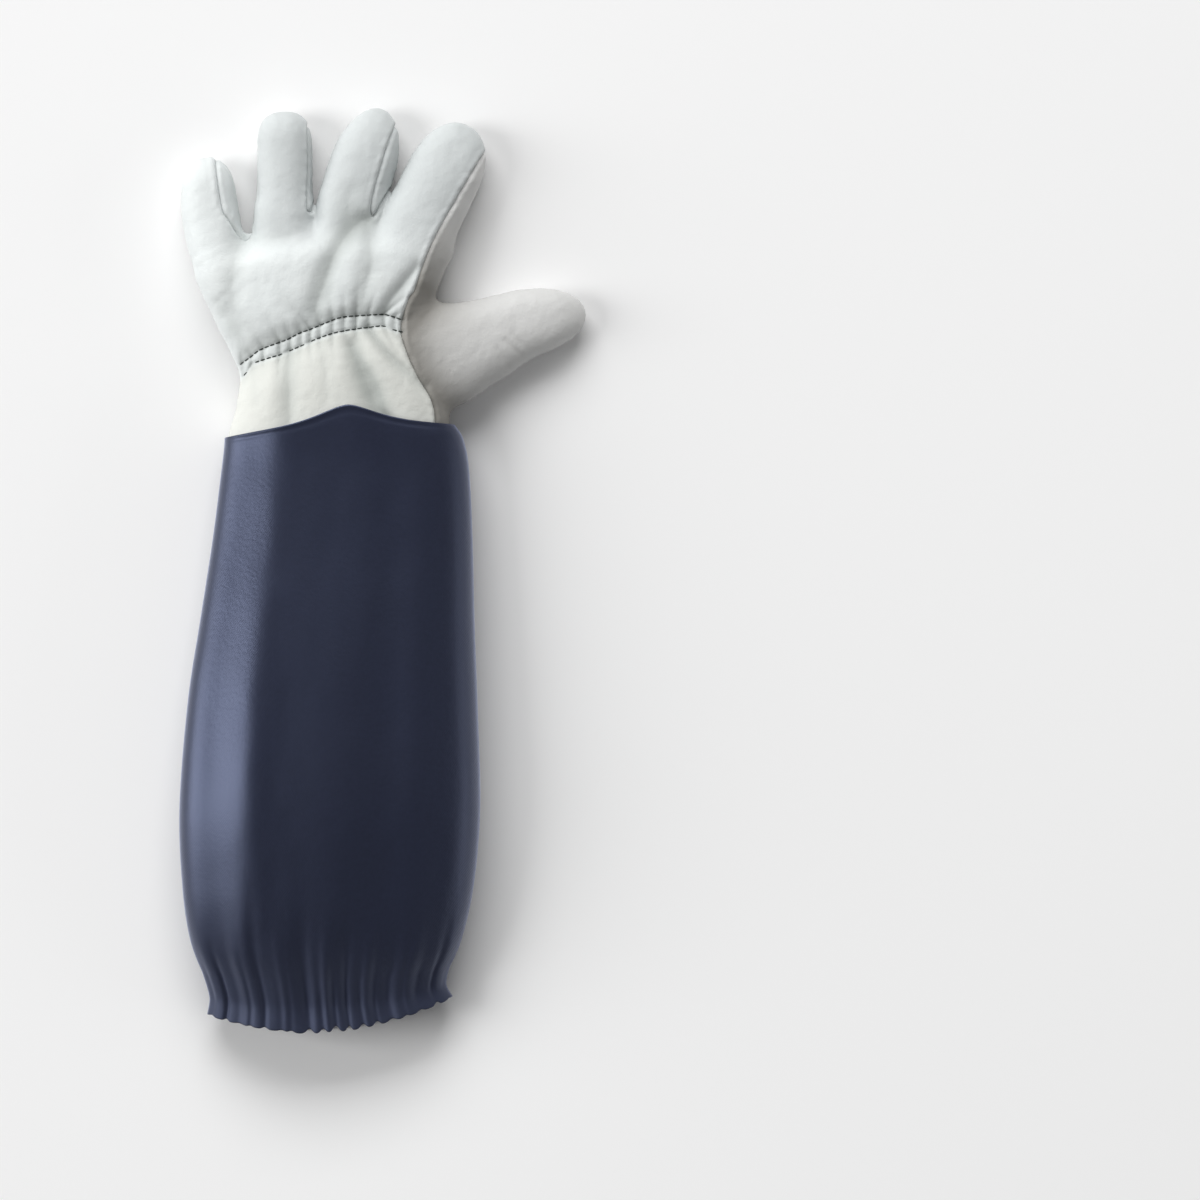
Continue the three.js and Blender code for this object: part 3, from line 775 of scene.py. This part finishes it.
def split_faces(faces, fields):
    """The faces as triangles, each face split along the diagonal that mixes fewer panels."""
    splits, costs = [], []
    for corners in ((0, 1, 2, 0, 2, 3), (1, 2, 3, 1, 3, 0)):
        split = faces[:, corners].reshape(-1, 2, 3)
        mixed = [(values[split].min(2) < 0) & (values[split].max(2) > 0) for values in fields]
        splits.append(split)
        costs.append(sum(halves.sum(1) for halves in mixed))
    first = (costs[0] <= costs[1])[:, None, None]
    return np.where(first, *splits).reshape(-1, 3)


def cut_panels(points, faces):
    """Points moved onto the seams, triangles between them, and each triangle's number in PANELS."""
    edges = edges_of(faces)
    locked = np.zeros(len(points), bool)
    taken = np.zeros(len(points), bool)
    fields = []
    for name in CUT_PANELS:
        values = np.where(taken, 0, panel_region(name, *points.T))
        for _ in range(SNAP_ROUNDS):
            points, values = snap_to(values, points, edges, locked)
            values = np.where(values == 0, 0, panel_region(name, *points.T))
        locked |= values == 0
        taken |= values < 0
        fields.append(values)
    triangles = split_faces(faces, fields)
    owner = np.full(len(triangles), PANELS.index("palm_panel"))
    for i in reversed(range(len(fields))):
        owner[fields[i][triangles].mean(1) < 0] = i
    return points, triangles, owner


def seam_edges(triangles, owner):
    """The edges between triangles of different panels."""
    sides = sides_of(triangles)
    owners = np.tile(owner, 3)
    order = np.lexsort((sides[:, 1], sides[:, 0]))
    sides, owners = sides[order], owners[order]
    on_seam = (sides[1:] == sides[:-1]).all(1) & (owners[1:] != owners[:-1])
    return sides[1:][on_seam]


def straightened(points, seam):
    """The points, with those of the seams drawn towards their neighbours on the seam."""
    points = points.copy()
    meets = np.bincount(seam.ravel(), minlength=len(points))
    inner = meets == 2
    for _ in range(STRAIGHTENING_ROUNDS):
        near = averaged(points, seam)
        points[inner] = (points[inner] + near[inner]) / 2
    return points


def seam_distance(points, triangles, seam):
    """Each point's distance from the nearest seam, measured only a few triangles away from it."""
    tree = KDTree(len(seam) * SEAM_SAMPLES)
    for i, (a, b) in enumerate(seam):
        for j in range(SEAM_SAMPLES):
            sampled = points[a] + (points[b] - points[a]) * (j + 0.5) / SEAM_SAMPLES
            tree.insert(sampled, SEAM_SAMPLES * i + j)
    tree.balance()
    near = np.zeros(len(points), bool)
    near[seam] = True
    for _ in range(SEAM_RINGS):
        near[triangles[near[triangles].any(1)]] = True
    distance = np.full(len(points), np.inf)
    for i in np.flatnonzero(near):
        distance[i] = tree.find(points[i])[2]
    distance[seam] = 0
    return distance


# Relief of the leather

def leather_valley(x, y):
    """How deep the folds are at each point."""
    depth = 0
    for line, width, most in LEATHER_FOLDS:
        line = smooth_line(line, 4 * len(line))
        along, _, distance = beside(line, x, y)
        length = sum(math.dist(a, b) for a, b in zip(line[:-1], line[1:]))
        swell = 0.75 + 0.25 * np.sin(math.pi * along / length)
        wide = width * (1 + 0.12 * noise(x, y, size=14, seed=3))
        depth = depth + most * swell * np.exp(-np.abs(distance / wide) ** 1.6)
    return depth


def pucker_valley(x, y):
    """How deep the gathers at the wrist are, with the stitches' and the tape's hollows."""
    upper, lower = line_height(UPPER_STITCHES, x), line_height(LOWER_STITCHES, x)
    above, below = np.maximum(0, y - upper), np.maximum(0, lower - y)
    on_hand = ease(x, -78, -74) * (1 - ease(x, 12, 14))
    width = PUCKER_WIDTH + PUCKER_WIDENING * (above + below)
    depth = 0
    for place, most, rise, rise_lean, fall, fall_lean in PUCKERS:
        middle = place + rise_lean * above + fall_lean * below
        reach = np.exp(-above / rise) * np.exp(-below / fall)
        depth = depth + PUCKER_DEEPENING * most * reach * np.exp(-np.abs((x - middle) / width) ** 1.5)
    row_depth, row_width = STITCHED_HOLLOW
    tape_depth, tape_width = TAPE_HOLLOW
    depth = depth + row_depth * (fade(y - upper, row_width) + fade(y - lower, row_width))
    depth = depth + tape_depth * fade(above + below, tape_width)
    return depth * on_hand


def leather_relief(points, outward, to_seam):
    """The leather's points moved for its folds, gathers, seams and fine wrinkles."""
    x, y, _ = points.T
    facing_up = ease(outward[:, 2], 0.05, 0.6)
    drop = (leather_valley(x, y) + pucker_valley(x, y)) * facing_up
    soft = 0.35 * noise(x, y, size=17, seed=11) + 0.2 * noise(x, y, size=8, seed=12)
    wrinkles = 0.1 * noise(x, y, size=3.1, seed=13)
    seam_wrinkles = 0.2 * noise(x, y, size=2.4, seed=14) * fade(to_seam - 2, 2.2)
    groove = GROOVE_DEPTH * fade(to_seam, GROOVE_WIDTH)
    ridge = RIDGE_HEIGHT * fade(to_seam - RIDGE_PLACE, RIDGE_WIDTH)
    off_cuff_end = ease(y, 58, 80)
    lift = (soft + wrinkles + seam_wrinkles) * off_cuff_end + ridge - groove
    moved = points + outward * lift[:, None]
    moved[:, 2] = np.maximum(moved[:, 2] - drop, 0)
    return moved, drop


def leather_shades(points, drop):
    """How far each point takes the second colour (the cuff's tone on the back, painted shade on the palm),
    the painted finger shade and the painted crease shade, for both leathers.
    """
    x, y, _ = points.T
    _, _, from_seam = beside(SIDE_SEAM, x, y)
    # Painted shade: the leather is painted darker in the folds, the more the deeper they are
    painted_crease_shade = np.clip(drop / 4, 0, 1)
    on_cuff = 1 - ease(y - line_height(LOWER_STITCHES, x), -3, 1)
    # Painted shade: the fingers are painted greyer from their roots on, the little finger less so
    painted_finger_shade = ease(y, 160, 188) * (0.3 + 0.7 * ease(x, -78, -62))
    # Painted shade on the palm leather: along the side seam, at the web by the thumb and towards the cuff
    at_web = 0.55 * fade(np.hypot(x - WEB[0], y - WEB[1]), 20)
    along_seam = fade(from_seam, 15) * (0.85 - 0.35 * ease(y, 145, 175))
    towards_cuff = 0.5 * (1 - ease(y, 60, 125))
    painted_palm_shade = np.clip(along_seam + at_web + towards_cuff, 0, 1)
    return {
        "back_leather": {"painted_crease_shade": painted_crease_shade, "cuff_tone_and_palm_shade": on_cuff, "painted_finger_shade": painted_finger_shade},
        "palm_leather": {"painted_crease_shade": painted_crease_shade, "cuff_tone_and_palm_shade": painted_palm_shade, "painted_finger_shade": np.zeros_like(x)},
    }


# Pieces

def make_piece(name, points, faces, material, node=None, shades=None):
    """A smooth mesh piece that rides on the glove, and stands for its CAD node."""
    mesh = bpy.data.meshes.new(name)
    faces = faces.tolist() if isinstance(faces, np.ndarray) else faces
    mesh.from_pydata((np.asarray(points) * MM).tolist(), [], faces)
    mesh.polygons.foreach_set("use_smooth", [True] * len(mesh.polygons))
    for shade, values in (shades or {}).items():
        attribute = mesh.attributes.new(shade, "FLOAT", "POINT")
        attribute.data.foreach_set("value", np.asarray(values, np.float32))
    mesh.materials.append(material)
    mesh.update()
    piece = bpy.data.objects.new(name, mesh)
    bpy.context.scene.collection.objects.link(piece)
    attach(piece, "root")
    if node:
        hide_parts(node)
    return piece


def thicken(piece, thickness):
    """Gives a sheet its wall, inwards from its outside."""
    solid = piece.modifiers.new("wall", "SOLIDIFY")
    solid.thickness = thickness * MM
    solid.offset = -1
    solid.use_even_offset = False


def ring_faces(rings, sides):
    """Faces that join rings of points to a tube."""
    faces = []
    for i in range(rings - 1):
        low, high = i * sides, (i + 1) * sides
        for j in range(sides):
            k = (j + 1) % sides
            faces.append((low + j, low + k, high + k, high + j))
    return faces


def renumbered(faces):
    """The points that faces use, and the faces in the numbers of those points alone."""
    used, numbers = np.unique(faces, return_inverse=True)
    return used, numbers.reshape(faces.shape)


def make_leather(materials):
    """The leather panels, and the outside surface that the stitches lie on."""
    points, outward, faces = even_surface(glove_field())
    place, _ = hand_place(points[:, 0], points[:, 1])
    used, faces = renumbered(faces[(place >= CUFF_ROW)[faces].all(1)])
    points, triangles, owner = cut_panels(points[used], faces)
    seam = seam_edges(triangles, owner)
    points = straightened(points, seam)
    to_seam = seam_distance(points, triangles, seam)
    moved, drop = leather_relief(points, outward[used], to_seam)
    shades = leather_shades(points, drop)
    for i, name in enumerate(PANELS):
        used, faces = renumbered(triangles[owner == i])
        slot = "palm_leather" if name in PALM_LEATHER_PANELS else "back_leather"
        panel_shades = {shade: values[used] for shade, values in shades[slot].items()}
        piece = make_piece(name + "_leather", moved[used], faces, materials[slot], name, panel_shades)
        thicken(piece, LEATHER)
    return BVHTree.FromPolygons([Vector(point) for point in moved], triangles.tolist())


def resampled(line, step):
    """Points at even steps along a line."""
    line = smooth_line(line, 12 * len(line))
    lengths = np.concatenate([[0], np.cumsum(np.hypot(*np.diff(line, axis=0).T))])
    places = np.arange(0, lengths[-1], step)
    return np.stack([np.interp(places, lengths, line[:, i]) for i in (0, 1)], 1)


def stitch_mesh(surface, start, end):
    """One stitch over the surface from one point to the next: rounded, and sunk in at both ends."""
    points = []
    ahead = (end - start) / np.hypot(*(end - start))
    for i in range(STITCH_RINGS):
        share = i / (STITCH_RINGS - 1)
        x, y = start + (end - start) * share
        hit, normal, _, _ = surface.ray_cast(Vector((x, y, GRID_HIGH[2])), Vector((0, 0, -1)))
        if hit is None:
            return [], []
        normal = np.array(normal)
        side = np.cross((*ahead, 0), normal)
        side /= np.linalg.norm(side)
        swell = math.sin(math.pi * share) ** 0.5
        radius = THREAD / 2 * (STITCH_TAPER + (1 - STITCH_TAPER) * swell)
        centre = np.array(hit) + normal * (THREAD * STITCH_RISE * swell - STITCH_DIP * (1 - swell))
        for j in range(STITCH_SIDES):
            turn = 2 * math.pi * j / STITCH_SIDES
            round_thread = math.cos(turn) * side + STITCH_FLATNESS * math.sin(turn) * normal
            points.append(centre + radius * round_thread)
    faces = [face[::-1] for face in ring_faces(STITCH_RINGS, STITCH_SIDES)]
    faces.append(tuple(range(STITCH_SIDES)))
    faces.append(tuple(reversed(range(len(points) - STITCH_SIDES, len(points)))))
    return points, faces


def make_stitches(name, line, surface, material, gaps=()):
    """One mesh of all the stitches along a line; gaps holds the x ranges that are left out."""
    points, faces = [], []
    path = resampled(line, STITCH + STITCH_GAP)
    for start, end in zip(path[:-1], path[1:]):
        if any(low < start[0] < high for low, high in gaps):
            continue
        stop = start + (end - start) * STITCH / (STITCH + STITCH_GAP)
        more, more_faces = stitch_mesh(surface, start, stop)
        faces += [tuple(len(points) + i for i in face) for face in more_faces]
        points += more
    make_piece(name, points, faces, material)


def make_elastic(material):
    """The tape behind the gathered leather of the wrist."""
    points, faces = [], []
    row = HAND_ROWS[WRIST_ROW]
    top, _, widest = row_levels(row)
    for i in range(TAPE_COLUMNS + 1):
        across = TAPE_START + (TAPE_END - TAPE_START) * i / TAPE_COLUMNS
        x, y = on_row(row, across)
        z = widest + (top - widest) * crown(across, UPPER_ROUNDNESS) - LEATHER - TAPE_DEPTH
        for j in range(TAPE_WIDTH + 1):
            ripple = 0.25 * math.sin(j * math.pi / 2) + 0.3 * math.cos(15 * math.pi * across)
            points.append((x, y - TAPE_WIDTH / 2 + j, z + ripple))
    for i in range(TAPE_COLUMNS):
        for j in range(TAPE_WIDTH):
            a = i * (TAPE_WIDTH + 1) + j
            b = a + TAPE_WIDTH + 1
            faces.append((a, b, b + 1, a + 1))
    piece = make_piece("wrist_elastic_tape", points, faces, material, "wrist_elastic")
    thicken(piece, TAPE)


# The canvas sleeve and its hem

def tube_levels(row, across, upper):
    """The level of a tube's outside, on top or underneath."""
    top, bottom, widest = row_levels(row)
    high = widest + (top - widest) * crown(across, UPPER_ROUNDNESS)
    low = widest - (widest - bottom) * FLATTENING * crown(across, LOWER_ROUNDNESS)
    return np.where(upper, high, np.maximum(bottom, low))


def sleeve_valley(across, share):
    """How deep the lengthwise folds are at a share of the way up the sleeve."""
    near_hem = share < SLEEVE_MIDDLE
    reach = np.where(near_hem, SLEEVE_MIDDLE, 1 - SLEEVE_MIDDLE)
    swell = np.cos(np.abs(share - SLEEVE_MIDDLE) / reach * math.pi / 2) ** 2
    depth = 0
    for place, width, top, middle, hem in SLEEVE_FOLDS:
        end = np.where(near_hem, hem, top)
        depth = depth + (end + (middle - end) * swell) * fade(across - place, width)
    return depth


def gather_table():
    """The gathers' valleys: place across, depth, width and length up the sleeve."""
    random = np.random.default_rng(SEED)
    count = GATHERS + 1
    shifts = random.uniform(-GATHER_SHIFT, GATHER_SHIFT, count)
    places = np.linspace(-GATHER_ENDS, GATHER_ENDS, count) + shifts
    spans = (GATHER_DEPTH, GATHER_WIDTH, GATHER_LENGTH)
    return list(zip(places, *(random.uniform(low, high, count) for low, high in spans)))


def gather_valley(across, above_hem, half_width):
    """How deep the gathers are: wider and shallower up the sleeve."""
    up = np.maximum(0, above_hem)
    depth = 0
    for place, most, width, length in gather_table():
        off = (across - place) * half_width
        depth = depth + most * np.exp(-((up / length) ** 1.3)) * fade(off, width + GATHER_WIDENING * up)
    return depth


def ring_places(count):
    """Places across a tube, over its top and back underneath, and which of them are on top."""
    half = count // 2
    share = np.arange(half) / half * 2 - 1
    across = EVEN_SHARE * share + (1 - EVEN_SHARE) * np.sin(share * math.pi / 2)
    return np.concatenate([across, -across]), np.arange(count) < half


def canvas_points(rows, place, across, upper):
    """Points of the sleeve or of the hem casing, with the folds and gathers that run over both."""
    row = between(rows, place)
    x, y = on_row(row, across)
    _, hem_y = on_row(HEM_ROWS[-1], across)
    _, edge_y = on_row(SLEEVE_ROWS[-1], across)
    above_hem, below_edge = y - hem_y, edge_y - y
    level = crown(across, 2)
    gathers = gather_valley(across, above_hem, (row[..., 2] - row[..., 0]) / 2)
    folds = sleeve_valley(across, np.clip(above_hem / (edge_y - hem_y), 0, 1))

    # Height over the top, and underneath
    swell = SWELL_HEIGHT * np.cos(2 * math.pi * SWELL_WAVES * across) * fade(above_hem, SWELL_LENGTH) * level
    waves = 0.5 * noise(x, y * 0.3, size=24, seed=21) + 0.12 * noise(x, y * 0.6, size=8, seed=22)
    waves = waves * ease(above_hem, 0, 30)
    rim_height, rim_width = EDGE_RIM
    dent_depth, dent_place, dent_width = EDGE_DENT
    rim = rim_height * fade(below_edge, rim_width) - dent_depth * fade(below_edge - dent_place, dent_width)
    lift = (waves + swell - folds) * level - gathers * (0.35 + 0.65 * level) + rim
    ripple = 0.5 * np.maximum(0, RIPPLE_LEVEL - gathers) * ease(-above_hem, 0, RIPPLE_LENGTH)
    z = np.maximum(0, tube_levels(row, across, upper) + np.where(upper, lift, ripple))

    # Lobes of the frill at one end, and the peak of the top edge at the other
    lobe = line_height(LOBES, across) * (gathers - NOTCH_DEPTH) * ease(-above_hem, 0, FRILL_LENGTH)
    from_peak = np.abs(across - EDGE_PEAK_PLACE) / EDGE_PEAK_WIDTH
    peak = EDGE_PEAK * np.exp(-(from_peak**1.6)) * fade(below_edge, EDGE_PEAK_REACH)
    return np.stack([x - gathers * 0.5 * across**5, y + lobe + np.where(upper, peak, 0), z], -1)


def ring_rows(rows, steps):
    """Places in a table of rows that lie at the given steps up the middle of the tube."""
    fine = np.linspace(0, len(rows) - 1, ROW_STEPS * len(rows))
    _, y = on_row(between(rows, fine), 0)
    lengths = [0.0]
    for step, end in steps:
        end = min(end, y[-1] - y[0])
        count = max(1, round((end - lengths[-1]) / step))
        lengths += list(np.linspace(lengths[-1], end, count + 1)[1:])
    return np.interp(lengths, y - y[0], fine)


def keep_crisp(mesh, ring):
    """Keeps the shading of a ring of points free of the wall's rim."""
    first = ring * COLUMNS
    ends = np.zeros(2 * len(mesh.edges), int)
    mesh.edges.foreach_get("vertices", ends)
    on_ring = (ends >= first) & (ends < first + COLUMNS)
    crisp = mesh.attributes.new("sharp_edge", "BOOLEAN", "EDGE")
    crisp.data.foreach_set("value", on_ring.reshape(-1, 2).all(1))


def make_tube(name, node, rows, steps, joint_ring, material):
    """A canvas tube; joint_ring is its ring at the seam between the sleeve and the hem casing."""
    across, upper = ring_places(COLUMNS)
    place, across = np.meshgrid(ring_rows(rows, steps), across, indexing="ij")
    points = canvas_points(rows, place, across, upper).reshape(-1, 3)
    shades = {"gathered": 1 - ease(points[:, 1], *GATHERED)}
    piece = make_piece(name, points, ring_faces(len(place), COLUMNS), material, node, shades)
    keep_crisp(piece.data, joint_ring % len(place))
    thicken(piece, CANVAS)
    return piece


def make_canvas(material):
    """The sleeve and the hem casing, joined at the sleeve's first ring and the hem's last."""
    sleeve = make_tube("sleeve_canvas", "sleeve", SLEEVE_ROWS, SLEEVE_STEPS, 0, material)
    hem = make_tube("hem_canvas", "hem_casing", HEM_ROWS, HEM_STEPS, -1, material)


# Materials

class Surface:
    """A material with short ways to add nodes to it and to join them."""

    def __init__(self, name, **inputs):
        self.material = bpy.data.materials.new(name)
        self.material.use_nodes = True
        self.nodes = self.material.node_tree.nodes
        self.join = self.material.node_tree.links.new
        self.shader = self.nodes["Principled BSDF"]
        for socket, value in inputs.items():
            self.shader.inputs[socket.replace("_", " ")].default_value = value

    def add(self, kind, **settings):
        """A new node with its inputs or properties set."""
        node = self.nodes.new("ShaderNode" + kind)
        for key, value in settings.items():
            if key in node.inputs:
                node.inputs[key].default_value = value
            else:
                setattr(node, key, value)
        return node

    def texture(self, kind, place, **settings):
        node = self.add("Tex" + kind, **settings)
        self.join(place, node.inputs["Vector"])
        return node

    def shade(self, name):
        return self.add("Attribute", attribute_name=name).outputs["Fac"]

    def mixed(self, share, first, second):
        """A colour from first to second, each a colour or a node's output."""
        mix = self.add("Mix", data_type="RGBA")
        self.join(share, mix.inputs["Factor"])
        for place, value in zip(MIX_COLOURS, (first, second)):
            if isinstance(value, tuple):
                mix.inputs[place].default_value = (*value, 1)
            else:
                self.join(value, mix.inputs[place])
        return mix.outputs[MIX_RESULT]

    def scaled(self, value, factor, offset=0.0):
        node = self.add("Math", operation="MULTIPLY_ADD")
        self.join(value, node.inputs[0])
        node.inputs[1].default_value = factor
        node.inputs[2].default_value = offset
        return node.outputs[0]

    def bump(self, *layers):
        """Relief in layers, finest first: height, strength, and depth in metres."""
        normal = None
        for height, strength, depth in layers:
            bump = self.add("Bump", Strength=strength, Distance=depth)
            self.join(height, bump.inputs["Height"])
            if normal:
                self.join(normal, bump.inputs["Normal"])
            normal = bump.outputs["Normal"]
        self.join(normal, self.shader.inputs["Normal"])


def leather_material(name, colours):
    """Smooth leather: pores and fine wrinkles in the relief, a soft change of colour across it, the cuff's
    tone, and painted shade on the fingers, on the palm and in the creases.
    """
    leather = Surface(name, Roughness=0.52, Specular_IOR_Level=0.22, Sheen_Weight=0.03)
    place = leather.add("TexCoord").outputs["Object"]
    patches = leather.texture("Noise", place, Scale=28.0, Detail=3.0).outputs["Fac"]
    colour = leather.mixed(patches, colours["first"], colours["mottled"])
    # The second colour (the cuff's tone on the back, painted shade on the palm), then the painted shade of
    # the fingers
    for shade in ("cuff_tone_and_palm_shade", "painted_finger_shade"):
        colour = leather.mixed(leather.shade(shade), colour, colours[shade])
    # Painted shade in the creases
    colour = leather.mixed(leather.scaled(leather.shade("painted_crease_shade"), 0.7), colour, colours["painted_crease_shade"])
    leather.join(colour, leather.shader.inputs["Base Color"])
    leather.join(leather.scaled(patches, 0.14, 0.46), leather.shader.inputs["Roughness"])

    pores = leather.texture("Voronoi", place, Scale=1100.0).outputs["Distance"]
    wrinkles = leather.texture("Noise", place, Scale=260.0, Detail=5.0, Roughness=0.62).outputs["Fac"]
    leather.bump((pores, 0.25, 0.0002), (wrinkles, 0.5, 0.0006))
    return leather.material


def canvas_material():
    """Navy twill: fine diagonal ribs, slubs, and a faint painted highlight: a lighter navy on the raised
    slubs.
    """
    canvas = Surface(
        "navy_twill", Roughness=0.4, Specular_IOR_Level=1.0, Specular_Tint=(*CANVAS_SHINE, 1),
        Sheen_Weight=0.7, Sheen_Roughness=0.4, Sheen_Tint=(*CANVAS_BLOOM, 1))
    place = canvas.add("TexCoord").outputs["Object"]
    slubs = canvas.texture("Noise", place, Scale=420.0, Detail=4.0).outputs["Fac"]
    patches = canvas.texture("Noise", place, Scale=18.0, Detail=2.0).outputs["Fac"]
    navy = canvas.mixed(patches, NAVY, NAVY_PATCHES)
    # Painted highlight: where the slubs are raised by the bump, the navy is painted lighter
    colour = canvas.mixed(canvas.scaled(slubs, 0.5), navy, NAVY_SLUB_HIGHLIGHT)
    canvas.join(colour, canvas.shader.inputs["Base Color"])
    canvas.join(canvas.scaled(canvas.shade("gathered"), 0.2, 0.39), canvas.shader.inputs["Roughness"])

    turned = canvas.add("Mapping", Rotation=(0, 0, math.radians(TWILL_ANGLE)))
    canvas.join(place, turned.inputs["Vector"])
    ribs = canvas.texture("Wave", turned.outputs["Vector"], Scale=330.0, Distortion=1.5).outputs["Fac"]
    canvas.bump((ribs, 0.12, 0.0003), (slubs, 0.35, 0.0003))
    return canvas.material


def woven_material(name, colour, roughness, pitch):
    """Ribbed tape or twisted thread: one colour with fine ribs, painted darker in their hollows as shade."""
    woven = Surface(name, Roughness=roughness, Specular_IOR_Level=0.3)
    place = woven.add("TexCoord").outputs["Object"]
    ribs = woven.texture("Wave", place, Scale=pitch, Distortion=0.4, bands_direction="DIAGONAL")
    height = ribs.outputs["Fac"]
    # Painted shade: the hollows between the ribs are painted darker
    rib_hollow_shade = tuple(part * 0.7 for part in colour)
    woven.join(woven.mixed(height, rib_hollow_shade, colour), woven.shader.inputs["Base Color"])
    woven.bump((height, 0.4, 0.0002))
    return woven.material


# Floor, lights and camera

def make_floor():
    mesh = bpy.data.meshes.new("floor")
    corners = [(-1, -1), (1, -1), (1, 1), (-1, 1)]
    mesh.from_pydata([(x * FLOOR_REACH, y * FLOOR_REACH, 0) for x, y in corners], [], [(0, 1, 2, 3)])
    floor = bpy.data.objects.new("floor", mesh)
    floor.location.z = -FLOOR_GAP
    bpy.context.scene.collection.objects.link(floor)
    grey = (FLOOR_GREY, FLOOR_GREY, FLOOR_GREY, 1)
    mesh.materials.append(Surface("floor", Base_Color=grey, Roughness=0.9, Specular_IOR_Level=0.1).material)


def add_light(name, place, width, height, power):
    light = bpy.data.lights.new(name, "AREA")
    light.shape = "RECTANGLE"
    light.size, light.size_y = width, height
    light.energy = power
    lamp = bpy.data.objects.new(name, light)
    bpy.context.scene.collection.objects.link(lamp)
    lamp.location = place
    lamp.rotation_euler = (Vector(LIGHT_AIM) - Vector(place)).to_track_quat("-Z", "Y").to_euler()


def light_scene():
    world = bpy.data.worlds.new("studio")
    bpy.context.scene.world = world
    world.use_nodes = True
    background = world.node_tree.nodes["Background"]
    background.inputs["Color"].default_value = (1, 1, 1, 1)
    background.inputs["Strength"].default_value = WORLD_LIGHT
    for light in LIGHTS:
        add_light(*light)


def place_camera():
    """A camera straight above, so far away that the picture has the photo's scale."""
    camera = bpy.data.cameras.new("camera")
    camera.lens = LENS
    camera.sensor_width = SENSOR
    camera.clip_end = VIEW_END
    seen = PHOTO_PIXELS * PHOTO_SCALE
    rig = bpy.data.objects.new("camera", camera)
    bpy.context.scene.collection.objects.link(rig)
    rig.location = Vector((*VIEW_CENTRE, seen * LENS / SENSOR + VIEW_LEVEL)) * MM
    bpy.context.scene.camera = rig


def main():
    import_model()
    leathers = {name: leather_material(name, colours) for name, colours in LEATHER_COLOURS.items()}
    surface = make_leather(leathers)
    thread = woven_material("dark_thread", DARK_THREAD, 0.7, 900)
    make_stitches("upper_stitches", UPPER_STITCHES, surface, thread)
    make_stitches("lower_stitches", LOWER_STITCHES, surface, thread, gaps=LOWER_GAPS)
    make_elastic(woven_material("elastic_tape", ELASTIC_TAPE, 0.8, 500))
    make_canvas(canvas_material())
    make_floor()
    light_scene()
    place_camera()
    bpy.context.scene.view_settings.view_transform = "Standard"


main()
